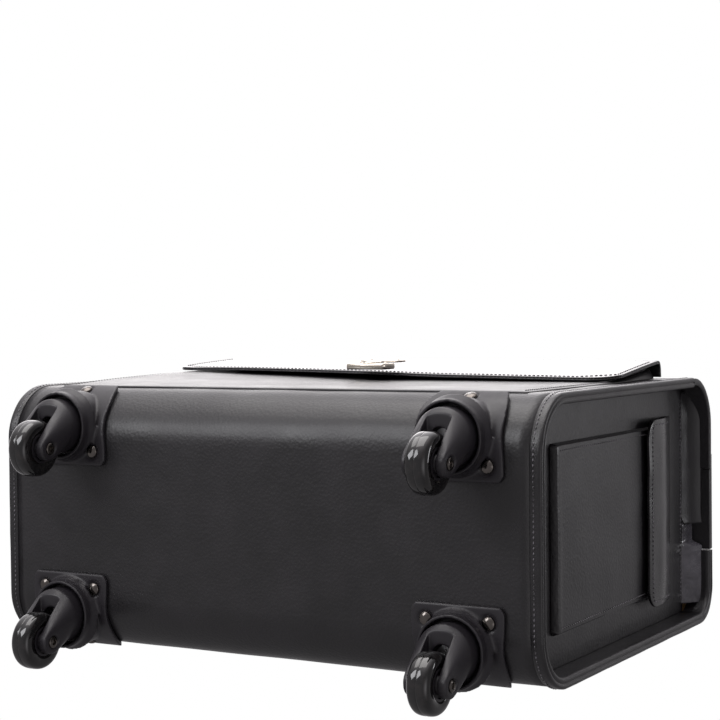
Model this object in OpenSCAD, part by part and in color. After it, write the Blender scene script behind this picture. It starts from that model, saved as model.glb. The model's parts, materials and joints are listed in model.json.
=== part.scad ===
// Four-wheel pilot case: a leather-covered box with a two-flap top, a flap pocket at the front,
// a slip pocket at each end, a two-stage trolley handle and four swivel castors.
// X runs along the case, Y from front to back, Z up. Millimetres.
// Modules draw in the case's own frame, whose z = 0 is the underside of the box. stand() moves them
// to the floor.

/* [Case] */
// Length of the box between the ends of its rims
case_w = 450; // [400:1:540]
// Depth of the box from front to back
case_d = 198; // [185:1:240]
// Height of the box without its castors
case_h = 342; // [300:1:410]
// Outer radius of the two long bottom corners
bottom_r = 41; // [34:1:46]
// Outer radius of the long front top corner
front_top_r = 38; // [26:1:40]
// Outer radius of the long rear top corner
rear_top_r = 28; // [14:1:32]

/* [Walls] */
// Thickness of the leather that wraps the box
cover_t = 1.4; // [0.8:0.1:2.5]
// Thickness of the board under the leather
board_t = 4.6; // [3:0.1:7]
// Thickness of the fabric lining
lining_t = 1.2; // [0.6:0.1:2]
// Thickness of the leather-covered end panels
panel_t = 3.2; // [2:0.1:5]
// How far the end panels sit inside the rims
rim_recess = 16; // [12:0.5:24]
// Thickness of the binding leather on the rims
binding_t = 0.8; // [0.4:0.1:1.6]
// Width of the binding from the rim's end
binding_w = 7; // [5:0.5:12]

/* [Top flaps] */
// Distance of the front flap's fold below the top of the box
flap_drop = 42; // [42:1:60]
// Thickness of the front flap
front_flap_t = 5.2; // [3:0.1:8]
// Depth of the fixed rear rail
rail_d = 56; // [52:1:60]
// Length of the front lip of the rear flap, where it lies over the front flap
lip_len = 14; // [10:0.5:16]
// Thickness of the lip
lip_t = 2; // [1.5:0.1:3]
// Thickness of the rear flap's board
rear_flap_t = 6.4; // [4:0.1:9]
// Height of the padded middle of the rear flap
pad_h = 5.4; // [3:0.1:8]
// How far the rear flap stands out past the rims
flap_overhang = 2.5; // [1:0.1:4]

/* [Pockets] */
// Width of the front pocket and its flap
pocket_w = 400; // [320:1:400]
// Depth of the front pocket at its mouth
pocket_d = 12; // [9:0.5:16]
// Height of the front pocket's flap
pocket_flap_h = 98; // [70:1:130]
// Thickness of the pocket leather
pocket_t = 1.6; // [1:0.1:2.5]
// Thickness of the pocket flap
pocket_flap_t = 2.6; // [1.6:0.1:4]
// Width of the end pockets
end_pocket_w = 132; // [100:1:150]
// Height of the end pockets
end_pocket_h = 192; // [150:1:196]
// Depth of the end pockets
end_pocket_d = 7; // [6.2:0.1:8]
// Height of the end pockets' flaps
end_flap_h = 56; // [48:1:70]

/* [Castors] */
// Radius of the wheels
wheel_r = 21; // [17:0.1:26]
// Width of the tyres
tyre_w = 17.2; // [14:0.1:21]
// Distance of the swivel axes from the middle of the case, along X
swivel_x = 165; // [140:1:170]
// Distance of the swivel axes from the box's front and back faces
swivel_inset = 27.5; // [25:0.5:34]
// Distance of the axle behind the swivel axis
trail = 15; // [10:0.5:18]
// Height of the box's underside above the tops of the wheels
wheel_room = 21; // [21:0.5:26]
// Radius of the fork's drum
drum_r = 20.5; // [18:0.5:21]

/* [Trolley handle] */
// Distance between the two tubes' axes
tube_spread = 190; // [150:1:200]
// Outer radius of the outer tubes
tube_r = 9; // [8:0.1:11]
// Wall thickness of every tube
tube_wall = 1; // [0.8:0.1:1.2]
// Width of the grip from front to back
grip_d = 20; // [18:0.5:24]

/* [Clearances] */
// Gap between pieces that move past each other
gap = 0.6; // [0.4:0.1:1]
// Radial gap between telescoping tubes
slide_gap = 0.3; // [0.2:0.05:0.5]
// Radial gap of pins in their bores
run_gap = 0.05; // [0.02:0.01:0.09]

/* [Hidden] */
$fn = 48;
CORNERS = ["fl", "fr", "bl", "br"];
CASTER_PARTS = ["caster_housing", "fork", "axle", "hub", "tyre"];
CASTER_NODES = [for (part = CASTER_PARTS) for (c = CORNERS) str(part, "_", c)];

leather = [0.10, 0.10, 0.11];
plastic = [0.14, 0.14, 0.15];
metal = [0.78, 0.76, 0.72];
eps = 0.01;

// Walls, as distances in from the box's outer surface
board_in = cover_t + board_t;
lining_in = board_in + lining_t;
panel_x = case_w/2 - rim_recess;          // outer face of an end panel
lining_x = panel_x - panel_t;             // outer face of the lining's ends
fold_z = case_h - flap_drop;              // top of the front wall, where the front flap folds
rail_y = case_d/2 - rail_d;               // front edge of the rear rail
seam_z = case_h - 34;                     // seam between an end panel and its gusset
partition_t = 3;
partition_y = rail_y;                     // front face of the partition
divider_y = -8;
divider_t = 4;
divider_top = fold_z - 36;

// Rear flap: its top stands a lip above the front flap
lip_z = case_h + gap;
flap_top = lip_z + lip_t;
flap_meet_y = -24;                        // rear edge of the front flap
lip_y = flap_meet_y - lip_len + 2;        // front edge of the lip
pad_y0 = -17;                             // front edge of the padded middle
pad_y1 = rail_y - 9;
pad_top = flap_top + pad_h;

// End gussets
wing_t = 2.2;
wing_r = 22;
fold_out = 12;                            // how far the crushed fold stands out from its panel

// Front pocket
pocket_z0 = 36;                           // bottom seam
pocket_z1 = fold_z - 21;                  // mouth
front_y = -case_d/2;
pocket_y = front_y - pocket_d;            // outer face of the pocket at its mouth
bead_r = 1.4;                             // rounded root of a flap, on its hinge axis
pocket_hinge_z = pocket_z1 + 5.5;
pocket_hinge_y = front_y - 0.3 - bead_r;
pocket_flap_y = pocket_y - gap - pocket_flap_t;   // outer face of the pocket flap
pocket_flap_z0 = pocket_hinge_z - pocket_flap_h;
pocket_flap_r = 22;
pocket_lock_w = 34;
pocket_lock_h = 20;
pocket_lock_z = pocket_flap_z0 - 2;       // top of the lock's case
pocket_button_r = 4;
pocket_button_z = pocket_lock_z - 11;
pocket_hasp_h = 15;
pocket_tongue_w = 16;
pocket_tongue_h = 8;

// End pockets, about a plane a little behind the middle
end_pocket_y = 2;
end_pocket_z0 = 50;
end_pocket_z1 = end_pocket_z0 + end_pocket_h;
end_flap_t = 2.2;
end_flap_in = panel_x + end_pocket_d + 0.5;       // inner face of the flap
end_hinge_z = min(end_pocket_z1 + 42, seam_z - 16);
end_hinge_x = panel_x + 0.3 + bead_r;
end_flap_w = end_pocket_w + 12;
end_flap_r = 9;

// Castors
axle_drop = wheel_r + wheel_room;
swivel_y = case_d/2 - swivel_inset;
plate_t = 3.6;
plate_w = 70;
plate_reach = 30.5;                       // from the swivel axis to the plate's inner edge
plate_top = 27;                           // height of its wrapped edge
collar_z = -15;                           // mouth of the collar
collar_r = drum_r + 5;
collar_bore = drum_r + 2.7;
collar_floor = -5;
bearing_t = 2.8;
kingpin_r = 4;
kingpin_head_z = -17;
axle_r = 3;
axle_head_r = axle_r + 1.6;
axle_head_t = 1.4;
drum_z0 = -21;
slot_top = drum_z0 - 4.5;                 // where the slot's sides end and its arch begins
ear_in = tyre_w/2 + 0.7;
ear_out = ear_in + 6.2;
ear_r = 9;
hub_r = 11;
rivet_r = 2;
rivet_head_r = 4.6;
rivet_sink_r = 6.2;
rivet_dx = 23.5;
rivet_dy = 19.5;
wrap_angle = 28;                          // of the rivet on the wrapped corner, below the horizontal

// Trolley handle
foot_rim = 3;                             // of the foot round each tube
foot_gap = 1.5;                           // between the foot and the partition
tube_y = max(rail_y + grip_d/2 + 6.5, partition_y + partition_t + foot_gap + foot_rim + tube_r);
middle_r = tube_r - tube_wall - slide_gap;
inner_r = middle_r - tube_wall - slide_gap;
tray_floor = case_h - 22;
tray_t = 1.8;
tray_w = tube_spread + 40;
tray_gap = 3;                            // between the grip and its tray
grip_w = tray_w - 2*tray_gap;
press_w = 42.8;
press_d = 12.8;
foot_z = board_in;

// Latches
latch_x = 140;
lock_d = 24;
lock_y = lip_y - lock_d/2 - 1;
lock_h = 6;
lock_w = 44;
slot_w = 18;
slot_d = 7.2;
slot_deep = 1.6;
slot_y0 = lock_y - lock_d/2 + 3.6;
button_w = 10;
hasp_w = 32;
tongue_w = 22;

// Carry handle
handle_x = 66;
handle_y = 24;
handle_z = pad_top + 6.5;                // pivot axis
ring_r = 2.2;
ring_w = 14.4;
ring_reach = 12;                         // from the pivot to the handle's end
mount_w = 8;
grip_r = 6.4;
handle_reach = 30;

// Origin: on the floor, in the middle of the whole object's box
floor_drop = axle_drop + wheel_r;
hasp_t = 1.6;
front_reach = -pocket_flap_y + hasp_t;
rear_reach = swivel_y + trail + wheel_r;
shift_y = (front_reach - rear_reach)/2;

module stand() translate([0, shift_y, floor_drop]) children();

// ---- 2D shapes in the YZ plane ----

// Extrudes a YZ drawing along X, between two places
module along_x(x0, x1) translate([x0, 0, 0]) rotate([90, 0, 90]) linear_extrude(x1 - x0) children();

// Rectangle with its own radius at each corner: bottom left, bottom right, top right, top left
module round_box(y0, z0, y1, z1, r) {
    polygon([[y0 + r[0], z0], [y1 - r[1], z0], [y1, z0 + r[1]], [y1, z1 - r[2]],
             [y1 - r[2], z1], [y0 + r[3], z1], [y0, z1 - r[3]], [y0, z0 + r[0]]]);
    if (r[0] > 0) translate([y0 + r[0], z0 + r[0]]) circle(r[0]);
    if (r[1] > 0) translate([y1 - r[1], z0 + r[1]]) circle(r[1]);
    if (r[2] > 0) translate([y1 - r[2], z1 - r[2]]) circle(r[2]);
    if (r[3] > 0) translate([y0 + r[3], z1 - r[3]]) circle(r[3]);
}

// Outline of the box, moved in by a distance
module outline(in) round_box(-case_d/2 + in, in, case_d/2 - in, case_h - in,
                             [bottom_r - in, bottom_r - in, rear_top_r - in, front_top_r - in]);

module ring(outer, inner) difference() {
    outline(outer);
    outline(inner);
}

// The wall that runs up the front, under the bottom, up the back and over the rail
module wall(outer, inner) difference() {
    ring(outer, inner);
    translate([-case_d, fold_z]) square([case_d + rail_y, case_h]);
}

// ---- Box ----

module tray_hole() translate([-tray_w/2, tube_y - grip_d/2 - tray_gap, tray_floor - 5])
    cube([tray_w, grip_d + 2*tray_gap, case_h]);

// Repeats a rivet at each of a castor's three places
module at_rivets() for (c = CORNERS) at_caster(c) at_own_rivets() children();

module at_own_rivets() {
    for (sx = [-1, 1]) translate([sx*rivet_dx, rivet_dy, 0]) rotate([180, 0, 0]) children();
    translate([0, bottom_r - swivel_inset, bottom_r]) rotate([90 + wrap_angle, 0, 0])
        translate([0, 0, bottom_r]) children();
}

module rivet_holes() at_rivets() translate([0, 0, -board_in - 1]) cylinder(r = rivet_r, h = board_in + 2);

module carcass() color([0.55, 0.42, 0.28]) difference() {
    along_x(-case_w/2, case_w/2) wall(cover_t, board_in);
    tray_hole();
    rivet_holes();
}

module outer_cover() color(leather) difference() {
    along_x(-case_w/2 + binding_w, case_w/2 - binding_w) wall(0, cover_t);
    tray_hole();
    rivet_holes();
}

// Inside of the compartment, a skin on the walls, the ends and the partition
module lining() color([0.16, 0.16, 0.17]) difference() {
    along_x(-lining_x, lining_x) lining_outline(0);
    along_x(-lining_x + lining_t, lining_x - lining_t) lining_outline(lining_t);
    translate([-case_w, -case_d, fold_z]) cube([2*case_w, 2*case_d, case_h]);
}

module lining_outline(in) round_box(-case_d/2 + board_in + in, board_in + in, partition_y - in, fold_z + 1,
    [bottom_r - board_in - in, 0, 0, 0]);

// Board that keeps the load off the trolley's tubes
module rear_partition() color([0.55, 0.42, 0.28]) translate([-lining_x, partition_y, board_in])
    cube([2*lining_x, partition_t, case_h - 2*board_in]);

module divider() color([0.2, 0.2, 0.21]) along_x(-lining_x + lining_t + 0.3, lining_x - lining_t - 0.3)
    round_box(divider_y, lining_in, divider_y + divider_t, divider_top, [0, 0, 1.5, 1.5]);

module end_panel() color(leather) along_x(lining_x, panel_x) intersection() {
    outline(board_in);
    translate([-case_d, 0]) square([2*case_d, seam_z]);
}

// Soft top of an end: a wing with a round rear corner, and a crushed fold behind it
module end_gusset() color(leather) {
    wing_y0 = -case_d/2 + 15;
    wing_z0 = seam_z - 6;
    fold_y0 = rail_y - 9;
    fold_y1 = case_d/2 - rear_top_r + 10;
    along_x(panel_x, panel_x + wing_t) {
        intersection() {
            round_box(wing_y0, seam_z - wing_r, fold_y0 - 14, case_h - 10, [0, 0, 12, wing_r]);
            translate([-case_d, wing_z0]) square([2*case_d, case_h]);
        }
        translate([wing_y0, wing_z0]) square([fold_y1 - wing_y0, 6]);
    }
    translate([0, fold_y1, 0]) rotate([90, 0, 0]) linear_extrude(fold_y1 - fold_y0)
        polygon([[panel_x, wing_z0], [panel_x + wing_t, wing_z0], [panel_x + fold_out, case_h - 11],
                 [panel_x + fold_out - 2, case_h - 9], [panel_x, seam_z + 4]]);
}

module rim_binding() color(leather) difference() {
    along_x(case_w/2 - binding_w, case_w/2 + binding_t) wall(-binding_t, board_in + binding_t);
    along_x(case_w/2 - binding_w - 1, case_w/2) wall(cover_t, board_in);
}

// ---- Front pocket ----

function pocket_line(in) = [
    [front_y - 2.4 + in, pocket_z0], [front_y - pocket_d*0.66 + in, pocket_z0 + 0.3*(pocket_z1 - pocket_z0)],
    [front_y - pocket_d*0.95 + in, pocket_z0 + 0.65*(pocket_z1 - pocket_z0)], [pocket_y + in, pocket_z1]];

module front_pocket() color(leather) difference() {
    along_x(-pocket_w/2, pocket_w/2)
        polygon(concat([[front_y, pocket_z0]], pocket_line(0), [[front_y, pocket_z1]]));
    along_x(-pocket_w/2 + pocket_t, pocket_w/2 - pocket_t) difference() {
        polygon(concat([[front_y + 1, pocket_z0]], pocket_line(pocket_t),
                       [[pocket_y + pocket_t, pocket_z1 + 1], [front_y + 1, pocket_z1 + 1]]));
        translate([-case_d, 0]) square([case_d, pocket_z0 + 5]);
    }
}

// A flap's face with two round lower corners, drawn out along Y
module flap_corners(w, z0, z1, r) translate([0, 0, z0]) rotate([90, 0, 0])
    linear_extrude(4*case_d, center = true)
        round_box(-w/2, 0, w/2, z1 - z0, [r, r, 0, 0]);

module pocket_flap() color(leather) intersection() {
    inner_y = pocket_flap_y + pocket_flap_t;
    root_z0 = pocket_hinge_z - bead_r;
    root_z1 = pocket_hinge_z + bead_r;
    along_x(-pocket_w/2, pocket_w/2) {
        translate([pocket_hinge_y, pocket_hinge_z]) circle(bead_r);
        polygon([[pocket_hinge_y, root_z1], [pocket_flap_y + 5, root_z1], [pocket_flap_y, root_z1 - 5],
                 [pocket_flap_y, pocket_flap_z0], [inner_y, pocket_flap_z0], [inner_y, root_z0 - 1.2],
                 [inner_y + 2.5, root_z0], [pocket_hinge_y, root_z0]]);
    }
    flap_corners(pocket_w, pocket_flap_z0, case_h, pocket_flap_r);
}

module pocket_lock_plate() color(metal) {
    face = front_y - pocket_d*0.95 + 1.2;
    difference() {
        translate([-pocket_lock_w/2, pocket_flap_y + 0.2, pocket_lock_z - pocket_lock_h])
            cube([pocket_lock_w, face - pocket_flap_y - 0.2, pocket_lock_h]);
        translate([0, pocket_flap_y, pocket_button_z]) rotate([-90, 0, 0])
            cylinder(r = pocket_button_r + 0.3, h = 3.2);
        along_x(-pocket_w/2 + 1, pocket_w/2 - 1)
            polygon(concat(pocket_line(0), [[front_y + 9, pocket_z1], [front_y + 9, pocket_z0]]));
    }
}

module pocket_lock_hasp() color(metal) {
    translate([-pocket_lock_w/2, pocket_flap_y - hasp_t, pocket_flap_z0 + 1])
        cube([pocket_lock_w, hasp_t, pocket_hasp_h]);
    translate([-pocket_tongue_w/2, pocket_flap_y - hasp_t, pocket_flap_z0 - pocket_tongue_h])
        cube([pocket_tongue_w, hasp_t, pocket_tongue_h + 1 + eps]);
}

module pocket_lock_button() color(metal) translate([0, pocket_flap_y - 1, pocket_button_z])
    rotate([-90, 0, 0]) cylinder(r = pocket_button_r, h = 2.4);

// ---- End pockets ----

module end_pocket() color(leather) difference() {
    translate([panel_x, end_pocket_y - end_pocket_w/2, end_pocket_z0])
        cube([end_pocket_d, end_pocket_w, end_pocket_h]);
    translate([panel_x - 1, end_pocket_y - end_pocket_w/2 + pocket_t, end_pocket_z0 + pocket_t])
        cube([end_pocket_d + 1 - pocket_t, end_pocket_w - 2*pocket_t, end_pocket_h]);
}

module end_flap() color(leather) intersection() {
    end_flap_z0 = end_hinge_z - end_flap_h;
    end_flap_out = end_flap_in + end_flap_t;
    translate([0, end_pocket_y + end_flap_w/2, 0]) rotate([90, 0, 0]) linear_extrude(end_flap_w) {
        translate([end_hinge_x, end_hinge_z]) circle(bead_r);
        polygon([[end_hinge_x, end_hinge_z - bead_r], [end_flap_in, end_hinge_z - bead_r - 1],
                 [end_flap_in, end_flap_z0], [end_flap_out, end_flap_z0], [end_flap_out, end_hinge_z - 1],
                 [end_hinge_x, end_hinge_z + bead_r]]);
    }
    translate([0, end_pocket_y, 0]) rotate([0, 0, 90])
        flap_corners(end_flap_w, end_flap_z0, case_h, end_flap_r);
}

// ---- Top flaps and latches ----

module front_flap() color(leather) along_x(-case_w/2, case_w/2) intersection() {
    ring(0, front_flap_t);
    translate([-case_d, fold_z + gap]) square([case_d + flap_meet_y, case_h]);
}

module rear_flap() color(leather) along_x(-case_w/2 - flap_overhang, case_w/2 + flap_overhang) {
    translate([flap_meet_y + gap, flap_top - rear_flap_t])
        square([rail_y - flap_meet_y - 2*gap, rear_flap_t]);
    round_box(pad_y0, flap_top - 4, pad_y1, pad_top, [0, 0, 3, 3]);
    translate([lip_y, lip_z]) square([flap_meet_y - lip_y + gap + eps, lip_t]);
}

module lock_case() color(metal) difference() {
    translate([-lock_w/2, lock_y - lock_d/2, case_h]) cube([lock_w, lock_d, lock_h]);
    translate([-slot_w/2, slot_y0, case_h + lock_h - slot_deep]) cube([slot_w, slot_d, 2]);
}

// The button lies at the inner end of its slot; side is +1 where it slides towards +X
module lock_button(side) color(metal) {
    inner_x = side > 0 ? -slot_w/2 + 0.3 : slot_w/2 - 0.3 - button_w;
    translate([inner_x, slot_y0 + 0.3, case_h + lock_h - slot_deep + 0.3])
        cube([button_w, slot_d - 0.6, 2.9]);
}

module lock_hasp() color(metal) {
    tongue_z = case_h + lock_h + 0.4;
    lock_back = lock_y + lock_d/2;
    translate([-hasp_w/2, lip_y + 1, flap_top]) cube([hasp_w, pad_y0 - lip_y - 2, hasp_t]);
    translate([-tongue_w/2, lock_back + 0.4, flap_top])
        cube([tongue_w, lip_y + 0.6 - lock_back + eps, tongue_z + hasp_t - flap_top]);
    translate([-tongue_w/2, lock_back - 7, tongue_z]) cube([tongue_w, 8, hasp_t]);
}

// ---- Carry handle ----

module at_handle_ends() for (sx = [-1, 1]) translate([sx*handle_x, handle_y, 0]) scale([sx, 1, 1]) children();

module handle_mounts() color(metal) at_handle_ends() difference() {
    union() {
        translate([-10, -9, pad_top]) cube([20, 18, 1.6]);
        translate([-mount_w/2, -4.5, pad_top]) cube([mount_w, 9, handle_z - pad_top]);
        translate([-mount_w/2, 0, handle_z]) rotate([0, 90, 0]) cylinder(r = 4.5, h = mount_w);
    }
    translate([-20, 0, handle_z]) rotate([0, 90, 0]) cylinder(r = ring_r + run_gap, h = 40);
}

// A ring's long side is the pin in its mount; its short sides reach to the grip, which lies forward at rest
module handle_ring(r) {
    for (y = [0, -ring_reach]) translate([-ring_w/2, y, 0]) rotate([0, 90, 0]) cylinder(r = r, h = ring_w);
    for (x = [-ring_w/2, ring_w/2]) {
        translate([x, 0, 0]) rotate([90, 0, 0]) cylinder(r = r, h = ring_reach);
        for (y = [0, -ring_reach]) translate([x, y, 0]) sphere(r = r);
    }
}

module at_rings() for (sx = [-1, 1]) translate([sx*handle_x, handle_y, handle_z]) children();

module handle_rings() color(metal) at_rings() handle_ring(ring_r);

module carry_handle() color(leather) difference() {
    union() {
        translate([-handle_x + 24, handle_y - handle_reach, handle_z + 1]) rotate([0, 90, 0])
            cylinder(r = grip_r, h = 2*handle_x - 48);
        for (sx = [-1, 1]) hull() {
            translate([sx*(handle_x - 24), handle_y - handle_reach, handle_z + 1])
                sphere(r = grip_r, $fn = 32);
            translate([sx*handle_x, handle_y - ring_reach, handle_z]) rotate([0, 90, 0])
                cylinder(r = ring_r + 2, h = ring_w - 2*ring_r - 1, center = true, $fn = 32);
        }
    }
    at_rings() handle_ring(ring_r + run_gap);
}

// ---- Trolley handle ----

module at_tubes() for (sx = [-1, 1]) translate([sx*tube_spread/2, tube_y, 0]) children();

module pipe(r, z0, z1) at_tubes() translate([0, 0, z0]) difference() {
    cylinder(r = r, h = z1 - z0);
    translate([0, 0, -1]) cylinder(r = r - tube_wall, h = z1 - z0 + 2);
}

module trolley_tray() color(plastic) difference() {
    well_y = tube_y - grip_d/2 - tray_gap;
    well_d = grip_d + 2*tray_gap;
    union() {
        translate([-tray_w/2, well_y, tray_floor - tray_t])
            cube([tray_w, well_d, case_h - tray_floor + tray_t]);
        translate([-tray_w/2 - 5, well_y - 3, case_h]) cube([tray_w + 10, well_d + 6, 1.4]);
    }
    translate([-tray_w/2 + tray_t, well_y + tray_t, tray_floor])
        cube([tray_w - 2*tray_t, well_d - 2*tray_t, case_h]);
    at_tubes() translate([0, 0, tray_floor - 10]) cylinder(r = middle_r + slide_gap, h = 20);
}

module trolley_outer_tubes() color(metal) pipe(tube_r, foot_z + 3, tray_floor - tray_t);
module trolley_middle_tubes() color(metal) pipe(middle_r, foot_z + 6, tray_floor + 1);
module trolley_inner_tubes() color(metal) pipe(inner_r, foot_z + 8, tray_floor + 8);

// The tubes' lower ends stand in a socket each, joined by a thin strap that follows the bottom's bend
module trolley_foot() color(plastic) difference() {
    intersection() {
        translate([-tube_spread/2 - tube_r - 4, tube_y - tube_r - foot_rim, foot_z])
            cube([tube_spread + 2*tube_r + 8, 2*(tube_r + foot_rim), 9]);
        along_x(-tube_spread, tube_spread) outline(board_in);
    }
    at_tubes() translate([0, 0, foot_z + 3]) cylinder(r = tube_r, h = 10);
    translate([-tube_spread/2 + tube_r + 4, tube_y - case_d/4, foot_z + 3])
        cube([tube_spread - 2*tube_r - 8, case_d/2, 10]);
}

module trolley_grip() color(plastic) difference() {
    translate([0, 0, tray_floor + 2]) linear_extrude(case_h - tray_floor + 1)
        translate([0, tube_y]) round_box(-grip_w/2, -grip_d/2, grip_w/2, grip_d/2, [8, 8, 8, 8]);
    at_tubes() translate([0, 0, tray_floor]) cylinder(r = inner_r, h = 8);
    translate([-press_w/2 - gap, tube_y - press_d/2 - gap, case_h - 3])
        cube([press_w + 2*gap, press_d + 2*gap, 10]);
}

module trolley_button() color(metal) translate([-press_w/2, tube_y - press_d/2, case_h + 0.2])
    cube([press_w, press_d, 4]);

// ---- Castors: each is drawn about its swivel axis, with the case's outer face towards -Y ----

module at_caster(c) {
    sx = c == "fl" || c == "bl" ? -1 : 1;
    sy = c == "fl" || c == "fr" ? 1 : -1;
    translate([sx*swivel_x, -sy*swivel_y, 0]) mirror([0, sy > 0 ? 0 : 1, 0]) children();
}

// The trail always points to the back of the case
module at_fork(c) {
    sx = c == "fl" || c == "bl" ? -1 : 1;
    sy = c == "fl" || c == "fr" ? 1 : -1;
    translate([sx*swivel_x, -sy*swivel_y, 0]) children();
}

// A saddle plate that follows the box's bottom corner, with a collar round the fork's drum
module caster_housing() color(plastic) difference() {
    union() {
        translate([0, swivel_y, 0]) along_x(-plate_w/2, plate_w/2) intersection() {
            ring(-plate_t, 0);
            translate([-case_d, -20]) square([case_d - swivel_y + plate_reach, 20 + plate_top]);
        }
        difference() {
            union() {
                translate([0, 0, collar_z]) cylinder(r = collar_r, h = plate_top/2 - collar_z);
                translate([0, 0, -9]) cylinder(r1 = collar_r, r2 = collar_r + 3, h = 6);
            }
            translate([0, swivel_y, 0]) along_x(-plate_w, plate_w) outline(0);
        }
    }
    translate([0, 0, collar_z - 1]) cylinder(r = collar_bore, h = collar_floor - collar_z + 1);
    translate([0, 0, -20]) cylinder(r = kingpin_r, h = 40);
    at_own_rivets() {
        translate([0, 0, -20]) cylinder(r = rivet_r, h = 40);
        translate([0, 0, plate_t - 1.2]) cylinder(r = rivet_sink_r, h = 3);
    }
}

module caster_kingpins() color(metal) for (c = CORNERS) at_fork(c) {
    translate([0, 0, kingpin_head_z]) cylinder(r = kingpin_r, h = -kingpin_head_z);
    translate([0, 0, kingpin_head_z - 2.4]) cylinder(r = kingpin_r + 2.6, h = 2.4);
}

module caster_bearings() color(metal) for (c = CORNERS) at_fork(c) difference() {
    translate([0, 0, collar_floor - bearing_t]) cylinder(r = drum_r - 3, h = bearing_t);
    translate([0, 0, collar_floor - bearing_t - 1]) cylinder(r = kingpin_r + 2, h = bearing_t + 2);
}

module caster_rivets() color(metal) at_rivets() {
    translate([0, 0, -board_in]) cylinder(r = rivet_r, h = board_in + plate_t);
    intersection() {
        translate([0, 0, plate_t - 1.2]) cylinder(r = rivet_head_r, h = 4);
        translate([0, 0, plate_t - 1.2 + 3 - 8]) sphere(r = 8);
    }
}

// A drum that runs smoothly into two cheeks, with an arched slot for the wheel
module fork() color(plastic) difference() {
    wheel_space = wheel_r + 1.5;
    union() {
        translate([0, 0, drum_z0]) cylinder(r = drum_r, h = collar_floor - bearing_t - 0.3 - drum_z0);
        hull() {
            translate([0, 0, drum_z0 - 1]) cylinder(r = drum_r, h = 2);
            on_axle() cylinder(r = ear_r, h = 2*ear_out, center = true);
        }
    }
    on_axle() cylinder(r = wheel_space, h = 2*ear_in, center = true);
    translate([-ear_in, -2*drum_r, -2*axle_drop]) cube([2*ear_in, 4*drum_r, 2*axle_drop + slot_top]);
    translate([0, 0, -40]) cylinder(r = kingpin_r + run_gap, h = 40);
    translate([0, 0, -40]) cylinder(r = kingpin_r + 3.2, h = 40 + kingpin_head_z + 0.1);
    on_axle() {
        cylinder(r = axle_r, h = 60, center = true);
        for (s = [-1, 1]) translate([0, 0, s*(ear_out + 10)])
            cylinder(r = axle_head_r + gap, h = 20, center = true);
    }
}

module axle() color(metal) on_axle() {
    translate([0, 0, -ear_out]) cylinder(r = axle_r, h = 2*ear_out);
    for (s = [-1, 1]) translate([0, 0, s*(ear_out + axle_head_t/2)])
        cylinder(r = axle_head_r, h = axle_head_t, center = true);
}

module on_axle() translate([0, trail, -axle_drop]) rotate([0, 90, 0]) children();

// A cross-section of (radius, along) points and its mirror image, turned about the axle
module wheel_part(half) rotate_extrude($fn = 96)
    polygon(concat([for (p = half) [p[0], -p[1]]], [for (i = [len(half) - 1:-1:0]) half[i]]));

module hub() color(plastic) on_axle() wheel_part([[axle_r + run_gap, tyre_w/2 + 0.2], [6, tyre_w/2 + 0.2],
    [6.6, tyre_w/2 - 0.8], [hub_r, tyre_w/2 - 0.8]]);

module tyre() color(leather) on_axle() wheel_part([[hub_r, tyre_w/2 - 0.8], [wheel_r - 5, tyre_w/2],
    [wheel_r - 2, tyre_w/2 - 0.7], [wheel_r - 0.4, tyre_w/2 - 2.6], [wheel_r, tyre_w/2 - 5],
    [wheel_r, 0.8], [wheel_r - 0.7, 0.4]]);

// ---- Nodes ----

module left_copy() mirror([1, 0, 0]) children();
module latch_at(sx) translate([sx*latch_x, 0, 0]) children();
module at_latches() for (sx = [-1, 1]) latch_at(sx) children();
module show(name) stand() children();

show("carcass") carcass();
show("outer_cover") outer_cover();
show("lining") lining();
show("rear_partition") rear_partition();
show("divider") divider();
show("end_panel_left") left_copy() end_panel();
show("end_panel_right") end_panel();
show("end_gusset_left") left_copy() end_gusset();
show("end_gusset_right") end_gusset();
show("rim_binding_left") left_copy() rim_binding();
show("rim_binding_right") rim_binding();
show("front_pocket") front_pocket();
show("pocket_lock_plate") pocket_lock_plate();
show("pocket_flap") pocket_flap();
show("pocket_lock_hasp") pocket_lock_hasp();
show("pocket_lock_button") pocket_lock_button();
show("end_pocket_left") left_copy() end_pocket();
show("end_pocket_right") end_pocket();
show("end_flap_left") left_copy() end_flap();
show("end_flap_right") end_flap();
show("front_flap") front_flap();
show("lock_cases") at_latches() lock_case();
show("lock_button_left") latch_at(-1) lock_button(-1);
show("lock_button_right") latch_at(1) lock_button(1);
show("rear_flap") rear_flap();
show("lock_hasps") at_latches() lock_hasp();
show("handle_mounts") handle_mounts();
show("carry_handle") carry_handle();
show("handle_rings") handle_rings();
show("trolley_tray") trolley_tray();
show("trolley_outer_tubes") trolley_outer_tubes();
show("trolley_foot") trolley_foot();
show("trolley_middle_tubes") trolley_middle_tubes();
show("trolley_inner_tubes") trolley_inner_tubes();
show("trolley_grip") trolley_grip();
show("trolley_button") trolley_button();
show("caster_kingpins") caster_kingpins();
show("caster_bearings") caster_bearings();
show("caster_rivets") caster_rivets();
for (c = CORNERS) {
    show(str("caster_housing_", c)) at_caster(c) caster_housing();
    show(str("fork_", c)) at_fork(c) fork();
    show(str("axle_", c)) at_fork(c) axle();
    show(str("hub_", c)) at_fork(c) hub();
    show(str("tyre_", c)) at_fork(c) tyre();
}
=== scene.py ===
import json
import math

import bmesh
import bpy
from bpy.props import FloatProperty, FloatVectorProperty, PointerProperty
from mathutils import Matrix, Vector, noise


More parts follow.
